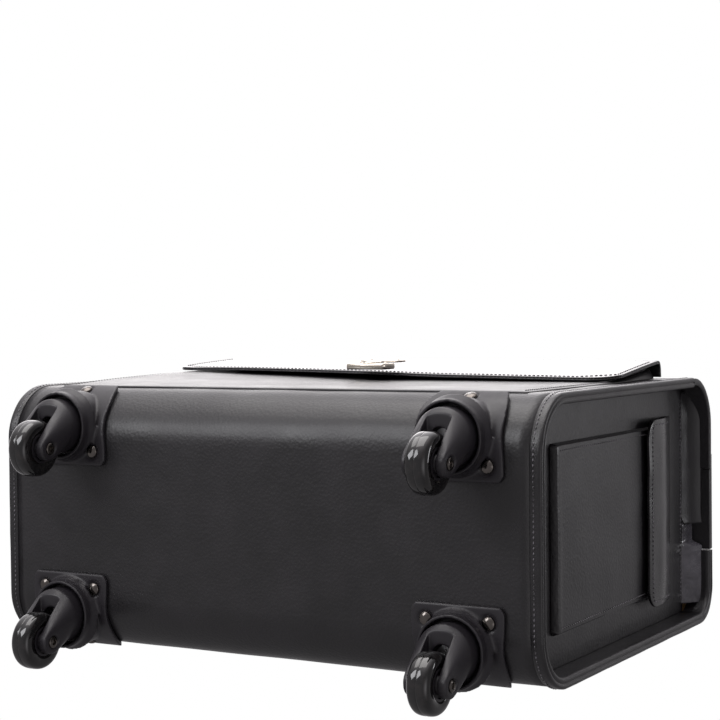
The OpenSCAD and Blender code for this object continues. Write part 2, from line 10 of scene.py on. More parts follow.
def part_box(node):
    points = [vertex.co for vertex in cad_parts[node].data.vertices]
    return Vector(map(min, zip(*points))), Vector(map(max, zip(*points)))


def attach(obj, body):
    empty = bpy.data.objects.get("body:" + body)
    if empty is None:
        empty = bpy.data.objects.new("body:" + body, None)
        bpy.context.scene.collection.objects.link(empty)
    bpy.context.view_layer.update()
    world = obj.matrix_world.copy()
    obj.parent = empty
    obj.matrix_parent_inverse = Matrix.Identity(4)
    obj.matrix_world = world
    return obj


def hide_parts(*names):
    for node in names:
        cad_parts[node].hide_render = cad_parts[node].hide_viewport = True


bl_info = {
    "name": "Leather pilot case",
    "version": (1, 0, 0),
    "blender": (4, 5, 0),
    "location": "View3D > Sidebar > Pilot case",
    "description": "Builds a leather-covered pilot case on castors, piece by piece, round its packed frame",
    "category": "Object",
}

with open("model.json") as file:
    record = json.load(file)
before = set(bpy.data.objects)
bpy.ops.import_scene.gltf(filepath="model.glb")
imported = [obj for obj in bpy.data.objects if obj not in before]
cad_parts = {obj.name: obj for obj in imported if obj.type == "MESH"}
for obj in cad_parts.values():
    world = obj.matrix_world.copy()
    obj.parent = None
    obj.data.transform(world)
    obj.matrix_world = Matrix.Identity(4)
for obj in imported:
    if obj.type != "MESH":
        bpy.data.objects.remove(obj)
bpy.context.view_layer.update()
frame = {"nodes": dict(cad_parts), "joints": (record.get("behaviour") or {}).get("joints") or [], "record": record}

# Pieces are drawn in millimetres in the case's own frame: x = 0 and y = 0 in the middle of the
# box, z = 0 on its underside. MIDDLE is that frame's origin in the row's frame, in metres.
MM = 0.001
COVER_LOW, COVER_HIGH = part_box("outer_cover")
MIDDLE = Vector((0, (COVER_LOW.y + COVER_HIGH.y) / 2, COVER_LOW.z))


def span(node):
    """Lowest and highest corner of a CAD node, in the case's frame, in millimetres."""
    low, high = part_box(node)
    return (low - MIDDLE) / MM, (high - MIDDLE) / MM


def joint_point(name):
    """A hinge's point in the case's frame, in millimetres."""
    found = [j for j in frame["joints"] if j["name"] == name]
    return (Vector(found[0]["pos_m"]) - MIDDLE) / MM


FRONT = span("outer_cover")[0].y
BACK = span("outer_cover")[1].y
TOP = span("outer_cover")[1].z
RIM_X = span("rim_binding_right")[1].x
PANEL_X = span("end_panel_right")[1].x
FOLD_Z = joint_point("front_flap_fold").z
RAIL_Y = joint_point("rear_flap_fold").y
BOTTOM_R = 41.0
FRONT_TOP_R = 38.0
REAR_TOP_R = 28.0
BOARD_IN = 6.0
ARC_STEPS = 20
CORNERS = ("fl", "fr", "bl", "br")


# ---- Colours and nodes ----


def linear(hex_colour):
    """An sRGB hex colour as linear red, green, blue and alpha."""
    parts = [int(hex_colour[i:i + 2], 16) / 255 for i in (1, 3, 5)]
    return [p / 12.92 if p <= 0.04045 else ((p + 0.055) / 1.055) ** 2.4 for p in parts] + [1.0]


def tone(colour):
    """A material's colour from a hex value, or from a colour that the user set."""
    return linear(colour) if isinstance(colour, str) else [*colour, 1.0]


def add_node(tree, kind, settings=None, **inputs):
    """Adds a node, sets its properties, and sets or links its inputs by name or number."""
    made = tree.nodes.new(kind)
    for key, value in (settings or {}).items():
        setattr(made, key, value)
    for key, value in inputs.items():
        numbered = key[0] == "i" and key[1:].isdigit()
        socket = made.inputs[int(key[1:]) if numbered else key.replace("_", " ")]
        if isinstance(value, bpy.types.NodeSocket):
            tree.links.new(value, socket)
        else:
            socket.default_value = value
    return made


def new_material(name):
    """A material with only a shader and an output, and the Object coordinates that its patterns read."""
    made = bpy.data.materials.new(name)
    made.use_nodes = True
    tree = made.node_tree
    return made, tree, add_node(tree, "ShaderNodeTexCoord").outputs["Object"]


def ramp(tree, factor, *stops):
    """A colour ramp through (position, colour) stops."""
    made = add_node(tree, "ShaderNodeValToRGB", Fac=factor)
    elements = made.color_ramp.elements
    while len(elements) < len(stops):
        elements.new(0.5)
    for element, (position, colour) in zip(elements, stops):
        element.position = position
        element.color = tone(colour)
    return made.outputs["Color"]


def to_range(tree, value, low, high, from_low, from_high):
    made = add_node(tree, "ShaderNodeMapRange", Value=value)
    for key, number in (("From Min", from_low), ("From Max", from_high), ("To Min", low), ("To Max", high)):
        made.inputs[key].default_value = number
    return made.outputs["Result"]


def texture(tree, kind, place, size_mm, settings=None, **inputs):
    """A texture whose pattern is so many millimetres wide."""
    return add_node(tree, f"ShaderNodeTex{kind}", settings, Vector=place, Scale=per_metre(size_mm), **inputs)


def sum_of(tree, operation, *terms):
    """A Math node's result."""
    inputs = {f"i{number}": term for number, term in enumerate(terms)}
    return add_node(tree, "ShaderNodeMath", {"operation": operation}, **inputs).outputs["Value"]


def bump(tree, height, strength, deep_mm, *under):
    """A bump so many millimetres deep, over another bump if there is one. It feeds the shader's normal."""
    made = add_node(tree, "ShaderNodeBump", Height=height, Strength=strength, Distance=deep_mm * MM)
    if under:
        tree.links.new(under[0], made.inputs["Normal"])
    tree.links.new(made.outputs["Normal"], tree.nodes["Principled BSDF"].inputs["Normal"])
    return made.outputs["Normal"]


def paint(tree, socket, value):
    """Sets or links an input of the material's shader."""
    given = tree.nodes["Principled BSDF"].inputs[socket]
    if isinstance(value, bpy.types.NodeSocket):
        tree.links.new(value, given)
    else:
        given.default_value = value


def per_metre(millimetres):
    """The texture scale that repeats once in so many millimetres."""
    return 1 / (millimetres * MM)


# ---- Materials ----


def leather(name, deep, light, rough, grain_mm=2.2, grain_mm_high=0.2, crease=0.0, coat=0.25):
    """Corrected-grain hide, embossed and sprayed with a black topcoat: a fine pebble, soft clouds in
    its gloss, and a thin clear coat that takes the studio's highlights."""
    made, tree, place = new_material(name)
    pebble = texture(tree, "Voronoi", place, grain_mm, {"feature": "SMOOTH_F1"})
    pebble.inputs["Smoothness"].default_value = 0.6
    pores = texture(tree, "Noise", place, grain_mm * 0.45, Detail=3.0)
    clouds = texture(tree, "Noise", place, 38, Detail=4.0, Roughness=0.6)
    ripple = texture(tree, "Noise", place, 14, Detail=2.0, Distortion=0.6)
    paint(tree, "Base Color", ramp(tree, clouds.outputs["Fac"], (0.3, deep), (0.7, light)))
    patchy = to_range(tree, clouds.outputs["Fac"], rough - 0.09, rough + 0.03, 0.3, 0.7)
    paint(tree, "Roughness", sum_of(tree, "MULTIPLY_ADD", pores.outputs["Fac"], 0.12, patchy))
    soft = bump(tree, ripple.outputs["Fac"], 0.3, 0.5)
    grain = bump(tree, pebble.outputs["Distance"], 0.8, grain_mm_high, soft)
    last = bump(tree, pores.outputs["Fac"], 0.5, 0.1, grain)
    if crease:
        folds = texture(tree, "Noise", place, 16, {"noise_type": "RIDGED_MULTIFRACTAL"}, Detail=3.0,
                        Distortion=1.6)
        bump(tree, folds.outputs["Fac"], crease, 1.6, last)
    paint(tree, "IOR", 1.5)
    paint(tree, "Coat Weight", coat)
    paint(tree, "Coat Roughness", 0.22)
    return made


def spun_thread(name, colour):
    """Bonded polyester thread: each stitch twisted along its length, and the soft shine of its filaments. Its
    colour runs from dark in the grooves of the twisted plies to pale grey on their crests: the grey is painted
    glint on a dark thread.
    """
    made, tree, place = new_material(name)
    twist_and_glints = add_node(tree, "ShaderNodeTexWave", {"wave_type": "BANDS", "bands_direction": "DIAGONAL"},
                     Vector=place,
                     Scale=per_metre(0.9) / 6)
    # Painted glints: the colour goes pale grey on the crests of the twisted plies.
    paint(tree, "Base Color", ramp(tree, twist_and_glints.outputs["Fac"], (0.2, "#2b292b"), (0.9, colour)))
    bump(tree, twist_and_glints.outputs["Fac"], 0.5, 0.15)
    paint(tree, "Roughness", 0.45)
    paint(tree, "Sheen Weight", 0.3)
    return made


def moulded_plastic(name, colour, rough, grit_mm):
    """Injection-moulded nylon or ABS from a spark-eroded tool: an even fine grit, slightly shinier where
    hands and the road rub it."""
    made, tree, place = new_material(name)
    grit = texture(tree, "Noise", place, grit_mm, Detail=2.0)
    rubbed = texture(tree, "Noise", place, 22, Detail=5.0, Roughness=0.65)
    paint(tree, "Base Color", ramp(tree, rubbed.outputs["Fac"], (0.35, colour), (0.75, "#2b292c")))
    paint(tree, "Roughness", to_range(tree, rubbed.outputs["Fac"], rough + 0.06, rough - 0.1, 0.35, 0.7))
    bump(tree, grit.outputs["Fac"], 0.35, 0.08)
    paint(tree, "IOR", 1.5)
    return made


def cast_polyurethane(name):
    """Cast polyurethane tyre: near-black and glossy, with a few scuffs round the tread."""
    made, tree, place = new_material(name)
    scuffs = texture(tree, "Noise", place, 5, Detail=6.0, Roughness=0.7)
    paint(tree, "Base Color", ramp(tree, scuffs.outputs["Fac"], (0.45, "#0c0c0d"), (0.85, "#2a2524")))
    paint(tree, "Roughness", to_range(tree, scuffs.outputs["Fac"], 0.06, 0.3, 0.5, 0.85))
    paint(tree, "IOR", 1.52)
    paint(tree, "Coat Weight", 0.6)
    paint(tree, "Coat Roughness", 0.04)
    return made


def plated_metal(name, colour, rough, scratch_mm=(0.25, 9.0, 9.0), scratch=0.12):
    """Plated or drawn metal: fine polishing lines in one direction, and a dull bloom in places."""
    made, tree, place = new_material(name)
    lay = add_node(tree, "ShaderNodeMapping", Vector=place)
    lay.inputs["Scale"].default_value = [per_metre(size) for size in scratch_mm]
    lines = add_node(tree, "ShaderNodeTexNoise", Vector=lay.outputs["Vector"], Scale=1.0, Detail=3.0)
    bloom = texture(tree, "Noise", place, 11, Detail=4.0)
    paint(tree, "Roughness", to_range(tree, bloom.outputs["Fac"], rough, rough + 0.12, 0.4, 0.75))
    bump(tree, lines.outputs["Fac"], scratch, 0.03)
    paint(tree, "Base Color", linear(colour))
    paint(tree, "Metallic", 1.0)
    return made


def woven_lining(name, dark, pale):
    """Plain-weave polyester lining, drawn at 1.2 mm a thread so that the weave shows."""
    made, tree, place = new_material(name)
    across, along = [add_node(tree, "ShaderNodeTexWave", {"bands_direction": way}, Vector=place,
                              Scale=per_metre(1.2) / 6).outputs["Fac"] for way in "XZ"]
    weave = sum_of(tree, "MULTIPLY", across, along)
    paint(tree, "Base Color", ramp(tree, weave, (0.1, dark), (0.9, pale)))
    bump(tree, weave, 0.5, 0.2)
    paint(tree, "Roughness", 0.85)
    paint(tree, "Sheen Weight", 0.25)
    return made


def birch_plywood(name):
    """Rotary-cut birch ply: pale, with long grain along X and thin glue lines between plies."""
    made, tree, place = new_material(name)
    lay = add_node(tree, "ShaderNodeMapping", Vector=place)
    lay.inputs["Scale"].default_value = [per_metre(60), per_metre(4), per_metre(4)]
    grain = add_node(tree, "ShaderNodeTexNoise", Vector=lay.outputs["Vector"], Scale=1.0, Detail=6.0,
                     Distortion=0.4)
    paint(tree, "Base Color", ramp(tree, grain.outputs["Fac"], (0.3, "#8d6b46"), (0.7, "#c5a273")))
    bump(tree, grain.outputs["Fac"], 0.2, 0.1)
    paint(tree, "Roughness", 0.6)
    return made


def painted_floor(name):
    """Matt studio paint. It shows only to an eye above it: seen from below it is clear, and the studio's
    light passes it, so the underside of the case is lit as it is on a glass table."""
    made, tree, place = new_material(name)
    mottle = texture(tree, "Noise", place, 400, Detail=3.0)
    paint(tree, "Base Color", ramp(tree, mottle.outputs["Fac"], (0.3, "#f1f0ee"), (0.7, "#f6f5f4")))
    paint(tree, "Roughness", 0.75)
    clear = add_node(tree, "ShaderNodeBsdfTransparent")
    side = add_node(tree, "ShaderNodeNewGeometry")
    path = add_node(tree, "ShaderNodeLightPath")
    shown = sum_of(tree, "SUBTRACT", path.outputs["Is Camera Ray"], side.outputs["Backfacing"])
    mix = add_node(tree, "ShaderNodeMixShader", i0=shown, i1=clear.outputs["BSDF"],
                   i2=tree.nodes["Principled BSDF"].outputs["BSDF"])
    tree.links.new(mix.outputs["Shader"], tree.nodes["Material Output"].inputs["Surface"])
    return made


MATERIALS = {}


def make_materials(hide):
    MATERIALS.update({
        "hide": leather("black_corrected_grain_hide", hide.deep, hide.light, 0.42, hide.grain_mm),
        "panel_hide": leather("black_panel_hide", "#0d0b0e", "#131014", 0.36, grain_mm=2.2),
        "glossy_hide": leather("black_polished_flap_hide", "#121013", "#19161a", 0.27, grain_mm_high=0.08,
                               coat=0.5),
        # The gusset's crushed hide is drawn pale grey: painted sheen, standing in for the silver light that its
        # black folds catch.
        "crushed_hide_painted_sheen": leather("black_crushed_gusset_hide_painted_silver_sheen", "#2c2a2f", "#6b6970", 0.22, crease=0.5,
                                coat=0.8),
        "binding_hide": leather("black_rolled_binding_hide", "#131214", "#201e21", 0.34, grain_mm=0.9),
        # The thread's pale grey is painted glint on a dark thread.
        "thread": spun_thread("dark_bonded_thread_painted_grey_glints", "#77737a"),
        "nylon": moulded_plastic("black_glass_filled_nylon", "#242126", 0.42, 0.6),
        "abs": moulded_plastic("black_textured_abs", "#1d1c1e", 0.46, 0.8),
        "tyre": cast_polyurethane("black_cast_polyurethane"),
        "nickel": plated_metal("polished_nickel_plate", "#d8d0c4", 0.1),
        # Rivets and axle pins: the nickel plate darkened, a painted shade for the dark surroundings that their
        # domes reflect.
        "rivet": plated_metal("nickel_plate_darkened_painted_shade", "#6f6a66", 0.13),
        "steel": plated_metal("bright_zinc_plated_steel", "#a9a9ab", 0.24),
        "tube": plated_metal("satin_anodised_aluminium", "#bfc1c4", 0.3, scratch_mm=(0.3, 0.3, 40.0),
                             scratch=0.25),
        "lining": woven_lining("charcoal_polyester_lining", "#17171a", "#2d2d33"),
        "ply": birch_plywood("birch_plywood"),
        "floor": painted_floor("matt_white_studio_floor"),
    })


# ---- Mesh tools ----


def finish_piece(name, bm, body, material, replaces=(), sharp=40, fix_normals=True):
    """Turns a drawing in the case's frame into a piece that rides on a body."""
    bmesh.ops.remove_doubles(bm, verts=bm.verts, dist=0.001)
    if fix_normals:
        bmesh.ops.recalc_face_normals(bm, faces=bm.faces)
    bm.transform(Matrix.Translation(MIDDLE) @ Matrix.Scale(MM, 4))
    mesh = bpy.data.meshes.new(name)
    bm.to_mesh(mesh)
    bm.free()
    mesh.materials.append(MATERIALS[material])
    mesh.shade_smooth()
    mesh.set_sharp_from_angle(angle=math.radians(sharp))
    made = bpy.data.objects.new(name, mesh)
    bpy.context.scene.collection.objects.link(made)
    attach(made, body)
    if replaces:
        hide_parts(*replaces)
    return made


def dress(node, material):
    """Gives a CAD node, whose shape is right as it is, its finish."""
    mesh = frame["nodes"][node].data
    mesh.materials.clear()
    mesh.materials.append(MATERIALS[material])


def modifier(obj, kind, **settings):
    made = obj.modifiers.new(kind.title(), kind)
    for key, value in settings.items():
        setattr(made, key, value)
    return made


def settle_modifiers(obj):
    """Applies every modifier to the mesh."""
    bpy.context.view_layer.update()
    evaluated = obj.evaluated_get(bpy.context.evaluated_depsgraph_get())
    mesh = bpy.data.meshes.new_from_object(evaluated)
    obj.modifiers.clear()
    obj.data = mesh


def wire(bm, x, start, *moves):
    """Draws a chain across the plane at x and returns its vertices. A move is a line to (y, z) in so many
    steps, or an arc given as (centre y, centre z, degrees, steps)."""
    chain = [bm.verts.new((x, start[0], start[1]))]
    for move in moves:
        if len(move) == 3:
            stride = (Vector((x, move[0], move[1])) - chain[-1].co) / move[2]
            for _ in range(move[2]):
                end = bmesh.ops.extrude_vert_indiv(bm, verts=[chain[-1]])["verts"][0]
                end.co += stride
                chain.append(end)
            continue
        turn = Matrix.Rotation(math.radians(move[2]) / move[3], 3, "X")
        for _ in range(move[3]):
            end = bmesh.ops.extrude_vert_indiv(bm, verts=[chain[-1]])["verts"][0]
            bmesh.ops.rotate(bm, verts=[end], cent=(x, move[0], move[1]), matrix=turn)
            chain.append(end)
    return chain


def wall_wire(bm, x, inset):
    """The box's wall, from the fold at the front, under the bottom and up the back, to the rail's edge."""
    low_y, high_y, top = FRONT + inset, BACK - inset, TOP - inset
    return wire(bm, x, (low_y, FOLD_Z), (low_y, BOTTOM_R, 16), (FRONT + BOTTOM_R, BOTTOM_R, 90, ARC_STEPS),
                (BACK - BOTTOM_R, inset, 8), (BACK - BOTTOM_R, BOTTOM_R, 90, ARC_STEPS),
                (high_y, TOP - REAR_TOP_R, 16), (BACK - REAR_TOP_R, TOP - REAR_TOP_R, 90, ARC_STEPS),
                (RAIL_Y, top, 3))


def front_flap_wire(bm, x, inset, rear_y):
    """The front flap, from its fold, round the top corner, to its rear edge."""
    return wire(bm, x, (FRONT + inset, FOLD_Z + 0.8), (FRONT + inset, TOP - FRONT_TOP_R, 2),
                (FRONT + FRONT_TOP_R, TOP - FRONT_TOP_R, -90, ARC_STEPS), (rear_y, TOP - inset, 4))


def chain_edges(bm, chain):
    return [bm.edges.get(pair) for pair in zip(chain, chain[1:])]


def loft(bm, chains):
    for one, two in zip(chains, chains[1:]):
        bmesh.ops.bridge_loops(bm, edges=chain_edges(bm, one) + chain_edges(bm, two))


def sweep_x(bm, chain, x_end, steps):
    """Draws a chain out along X in equal steps."""
    edges = chain_edges(bm, chain)
    step = (x_end - chain[0].co.x) / steps
    for _ in range(steps):
        made = bmesh.ops.extrude_edge_only(bm, edges=edges)["geom"]
        verts = {g for g in made if isinstance(g, bmesh.types.BMVert)}
        edges = [g for g in made if isinstance(g, bmesh.types.BMEdge) and set(g.verts) <= verts]
        bmesh.ops.translate(bm, verts=list(verts), vec=(step, 0, 0))


def face_away(bm, centre):
    """Turns an open skin so that its faces look away from a point."""
    bmesh.ops.recalc_face_normals(bm, faces=bm.faces)
    bm.normal_update()
    lean = sum((f.calc_center_median() - Vector(centre)).dot(f.normal) * f.calc_area() for f in bm.faces)
    if lean < 0:
        bmesh.ops.reverse_faces(bm, faces=bm.faces)


def grid(bm, columns, rows, place):
    """A skin of columns by rows whose corners run over u and v from 0 to 1; place gives each point."""
    made = bmesh.ops.create_grid(bm, x_segments=columns, y_segments=rows, size=0.5)["verts"]
    for vert in made:
        vert.co = place(vert.co.x + 0.5, vert.co.y + 0.5)
    return made


def skin(name, columns, rows, place, centre, body, material, replaces=()):
    """A piece of hide that place draws, with its faces away from a point inside the case."""
    bm = bmesh.new()
    grid(bm, columns, rows, place)
    face_away(bm, centre)
    return finish_piece(name, bm, body, material, replaces, fix_normals=False)


def round_edges(obj, width, segments, sharp, **settings):
    """Rounds the edges that turn by more than so many degrees."""
    modifier(obj, "BEVEL", width=width * MM, segments=segments, limit_method="ANGLE",
             angle_limit=math.radians(sharp), **settings)


def cut_edge(obj, thickness, width=None, segments=2):
    """Gives a skin its thickness inwards and, where a width is given, rounds its cut edges."""
    modifier(obj, "SOLIDIFY", thickness=thickness * MM, offset=-1)
    if width:
        round_edges(obj, width, segments, 60)


def box(bm, low, high, bevel=0.0, segments=3):
    """A block between two corners, with rounded edges."""
    low, high = Vector(low), Vector(high)
    size = Matrix.Diagonal((*(high - low), 1))
    made = bmesh.ops.create_cube(bm, size=1, matrix=Matrix.Translation((low + high) / 2) @ size)["verts"]
    if bevel:
        edges = list({e for v in made for e in v.link_edges})
        bmesh.ops.bevel(bm, geom=edges, offset=bevel, affect="EDGES", segments=segments, profile=0.5,
                        material=-1)


def turned(bm, profile, axis_point, axis, steps):
    """Spins a profile of (radius, along) points round an axis through a point, and closes it."""
    frame_of = {"X": Matrix(((0, 0, 1), (0, 1, 0), (1, 0, 0))),
                "Y": Matrix(((1, 0, 0), (0, 0, 1), (0, 1, 0))),
                "Z": Matrix.Identity(3)}[axis]
    chain = [bm.verts.new(Vector(axis_point) + frame_of @ Vector((r, 0, along))) for r, along in profile]
    edges = [bm.edges.new(pair) for pair in zip(chain, chain[1:])]
    bmesh.ops.spin(bm, geom=chain + edges, cent=axis_point, axis=frame_of @ Vector((0, 0, 1)), angle=math.tau,
                   steps=steps, use_merge=True)
    bmesh.ops.remove_doubles(bm, verts=bm.verts, dist=0.002)


def round_profile(*points, radius=1.0, steps=4):
    """Rounds each inner corner of a profile of (radius, along) points."""
    smooth = [points[0]]
    for before, here, after in zip(points, points[1:], points[2:]):
        here = Vector(here)
        towards, away = Vector(before) - here, Vector(after) - here
        reach = min(radius, towards.length * 0.45, away.length * 0.45)
        start, end = here + towards.normalized() * reach, here + away.normalized() * reach
        for i in range(steps + 1):
            t = i / steps
            smooth.append(tuple(start * (1 - t) ** 2 + here * (2 * t * (1 - t)) + end * t ** 2))
    return smooth + [points[-1]]


def walk(points, pitch):
    """Places along a path of points, one pitch apart, each with its direction."""
    lengths = [(b - a).length for a, b in zip(points, points[1:])]
    count = max(1, int(sum(lengths) / pitch))
    places, at, leg = [], pitch / 2, 0
    done = 0.0
    for _ in range(count):
        while leg < len(lengths) - 1 and at > done + lengths[leg]:
            done += lengths[leg]
            leg += 1
        ahead = (points[leg + 1] - points[leg]).normalized()
        places.append((points[leg] + ahead * (at - done), ahead))
        at += pitch
    return places


def stitch_row(bm, points):
    """A row of saddle stitches, each a short fat oval that lies along the path."""
    thread = bpy.context.scene.case_thread
    shape = Matrix.Diagonal((thread.length_mm / 2, thread.width_mm, thread.width_mm, 1))
    shape = shape @ Matrix.Rotation(math.pi / 2, 4, "Y")
    for centre, ahead in walk([Vector(p) for p in points], thread.pitch_mm):
        turn = Matrix.Translation(centre) @ ahead.to_track_quat("X", "Z").to_matrix().to_4x4()
        bmesh.ops.create_uvsphere(bm, u_segments=6, v_segments=4, radius=1, matrix=turn @ shape)


def stitches(name, body, rows):
    bm = bmesh.new()
    for row in rows:
        stitch_row(bm, row)
    return finish_piece(name, bm, body, "thread", fix_normals=False, sharp=80)


def soft_noise(point, size, seed):
    """A smooth random number from -1 to 1 that changes over so many millimetres."""
    return noise.noise(Vector(point) / size + Vector((seed, seed * 0.7, -seed)))


def mirrored(side, point):
    return Vector((side * point[0], point[1], point[2]))


def chain_points(draw, x, inset, *more):
    """The places along a wire, without keeping the wire."""
    bm = bmesh.new()
    points = [v.co.copy() for v in draw(bm, x, inset, *more)]
    bm.free()
    return points


def swept_section(bm, section, draw):
    """Sweeps a closed section of (x, inset) points along a wire, and caps its two ends."""
    chains = [draw(bm, x, inset) for x, inset in section]
    loft(bm, chains + chains[:1])
    for end in (0, -1):
        bmesh.ops.contextual_create(bm, geom=[chain[end] for chain in chains])


def ruffle(bm, height, size, seed):
    """Moves every vertex along its normal by a soft random height, as hide lies over board."""
    bm.normal_update()
    moves = [(v, v.normal * height * soft_noise(v.co, size, seed)) for v in bm.verts]
    for vert, move in moves:
        vert.co += move


def cut_hole(bm, low, high):
    """Cuts a rectangular hole through a skin."""
    low, high = Vector(low), Vector(high)
    for place, normal in ((low, (1, 0, 0)), (high, (1, 0, 0)), (low, (0, 1, 0)), (high, (0, 1, 0))):
        near = [f for f in bm.faces if f.calc_center_median().z > low.z]
        parts = {g for f in near for g in (f, *f.edges, *f.verts)}
        bmesh.ops.bisect_plane(bm, geom=list(parts), plane_co=place, plane_no=normal)
    inside = [f for f in bm.faces if all(low[i] < f.calc_center_median()[i] < high[i] for i in range(3))]
    bmesh.ops.delete(bm, geom=inside, context="FACES")


def copy_of(node):
    """A drawing that starts from a CAD node's own mesh, merged, in the case's frame."""
    bm = bmesh.new()
    bm.from_mesh(frame["nodes"][node].data)
    bm.transform(Matrix.Scale(1 / MM, 4) @ Matrix.Translation(-MIDDLE))
    bmesh.ops.remove_doubles(bm, verts=bm.verts, dist=0.004)
    bmesh.ops.dissolve_limit(bm, angle_limit=math.radians(1.5), verts=bm.verts, edges=bm.edges)
    return bm


def softened(name, node, body, material, width):
    """A CAD node's shape with its cut edges rounded over."""
    made = finish_piece(name, copy_of(node), body, material, [node], sharp=45, fix_normals=False)
    round_edges(made, width, 3, 35, harden_normals=True)


def body_of(node):
    return next(name for name, body in frame["record"]["behaviour"]["bodies"].items() if node in body)


# ---- Sizes and colours that a user would change ----


class CaseLeather(bpy.types.PropertyGroup):
    grain_mm: FloatProperty(name="Grain", description="Width of one pebble of the leather, in millimetres",
                            default=2.2, min=0.5, max=4.0)
    cover_mm: FloatProperty(name="Hide", description="Thickness of the hide on the box, in millimetres",
                            default=1.4, min=0.8, max=2.5)
    flap_mm: FloatProperty(name="Flap", description="Thickness of the front pocket's flap, in millimetres",
                           default=2.6, min=1.6, max=4.0)
    ripple_mm: FloatProperty(name="Ripple", description="How far the hide ripples over its board, in millimetres",
                             default=0.35, min=0.0, max=1.0)
    deep: FloatVectorProperty(name="Deep black", description="Darkest tone of the hide", subtype="COLOR",
                              size=3, default=linear("#171618")[:3], min=0.0, max=1.0)
    light: FloatVectorProperty(name="Light black", description="Lightest tone of the hide", subtype="COLOR",
                               size=3, default=linear("#222023")[:3], min=0.0, max=1.0)


class CaseThread(bpy.types.PropertyGroup):
    pitch_mm: FloatProperty(name="Pitch", description="Distance between two stitches, in millimetres",
                            default=3.6, min=2.0, max=6.0)
    length_mm: FloatProperty(name="Length", description="Length of one stitch, in millimetres",
                             default=2.5, min=1.0, max=5.0)
    width_mm: FloatProperty(name="Thickness", description="Half the thickness of the thread, in millimetres",
                            default=0.5, min=0.2, max=1.0)


class CaseStudio(bpy.types.PropertyGroup):
    lens_mm: FloatProperty(name="Lens", description="Focal length of the camera, in millimetres",
                           default=86.46,
                           min=20, max=200)
    fill: FloatProperty(name="Fill", description="Strength of the even light from all round", default=0.22,
                        min=0.0, max=2.0)


# ---- Pieces ----


def done(piece_count):
    if not piece_count:
        raise RuntimeError("nothing was made")
    return {"FINISHED"}


class CASE_OT_finishes(bpy.types.Operator):
    """Makes the finishes, and dresses the parts whose CAD shape is right as it is"""
    bl_idname = "pilot_case.finishes"
    bl_label = "Finishes"

    def execute(self, context):
        make_materials(context.scene.case_leather)
        kept = {"carcass": "ply", "rear_partition": "lining", "lining": "lining", "divider": "lining",
                "trolley_outer_tubes": "tube", "trolley_middle_tubes": "tube", "trolley_inner_tubes": "tube",
                "trolley_foot": "abs", "caster_kingpins": "steel", "caster_bearings": "steel",
                "handle_rings": "nickel"}
        for node, material in kept.items():
            dress(node, material)
        return done(len(kept))


COVER_X = span("outer_cover")[1].x
TRAY_LOW, TRAY_HIGH = span("trolley_tray")


def flat_at(point, z):
    return Vector((point.x, point.y, z))


class CASE_OT_cover(bpy.types.Operator):
    """The hide that wraps the box from the front fold, under the bottom and up the back"""
    bl_idname = "pilot_case.cover"
    bl_label = "Box cover"

    def execute(self, context):
        hide = context.scene.case_leather
        bm = bmesh.new()
        sweep_x(bm, wall_wire(bm, -COVER_X - 1, 0), COVER_X + 1, 44)
        face_away(bm, (0, 0, TOP / 2))
        ruffle(bm, hide.ripple_mm, 45, 1.0)
        lap = Vector((6, 4, 0))                     # of the tray's collar over the hole's edge
        reach = Vector((0, 0, 20))                  # above and below the top, so that only the top is cut
        cut_hole(bm, flat_at(TRAY_LOW, TOP) + lap - reach, flat_at(TRAY_HIGH, TOP) - lap + reach)
        made = finish_piece("box_cover", bm, "case", "hide", ["outer_cover"], fix_normals=False)
        modifier(made, "SOLIDIFY", thickness=hide.cover_mm * MM, offset=-1, use_even_offset=True)
        return done(1)


class CASE_OT_rims(bpy.types.Operator):
    """The two bound ends of the box, each a double rolled edge that turns in to its end panel"""
    bl_idname = "pilot_case.rims"
    bl_label = "Bound rims"

    def execute(self, context):
        section = [(217.4, 0.6), (217.7, -0.4), (218.4, -0.75), (223.6, -0.85), (225.2, -0.75), (226.1, 0.0),
                   (226.4, 1.1), (226.1, 2.2), (225.5, 2.9), (225.4, 3.2), (225.6, 3.6), (226.1, 4.4),
                   (226.2, 5.6),
                   (225.7, 6.6), (224.6, 7.2), (222.0, 7.35), (215.0, 7.3), (PANEL_X - 0.4, 7.3),
                   (PANEL_X - 0.4, 6.3),
                   (214.0, 5.2), (217.4, 2.0)]
        for side, word in ((-1, "left"), (1, "right")):
            bm = bmesh.new()
            swept_section(bm, [(side * x, inset) for x, inset in section], wall_wire)
            bmesh.ops.recalc_face_normals(bm, faces=bm.faces)
            ruffle(bm, 0.22, 17, 3.0 + side)
            finish_piece(f"rim_{word}", bm, "case", "binding_hide", [f"rim_binding_{word}"])
            stitches(f"rim_stitches_{word}", "case", [chain_points(wall_wire, side * (RIM_X - 5.4), -0.85)])
        return done(2)


def arched_width(half, low_z, radius, z):
    """Half the width of a panel with two round lower corners, at a height."""
    if z >= low_z + radius:
        return half
    return half - radius + math.sqrt(max(0.0, radius ** 2 - (low_z + radius - z) ** 2))


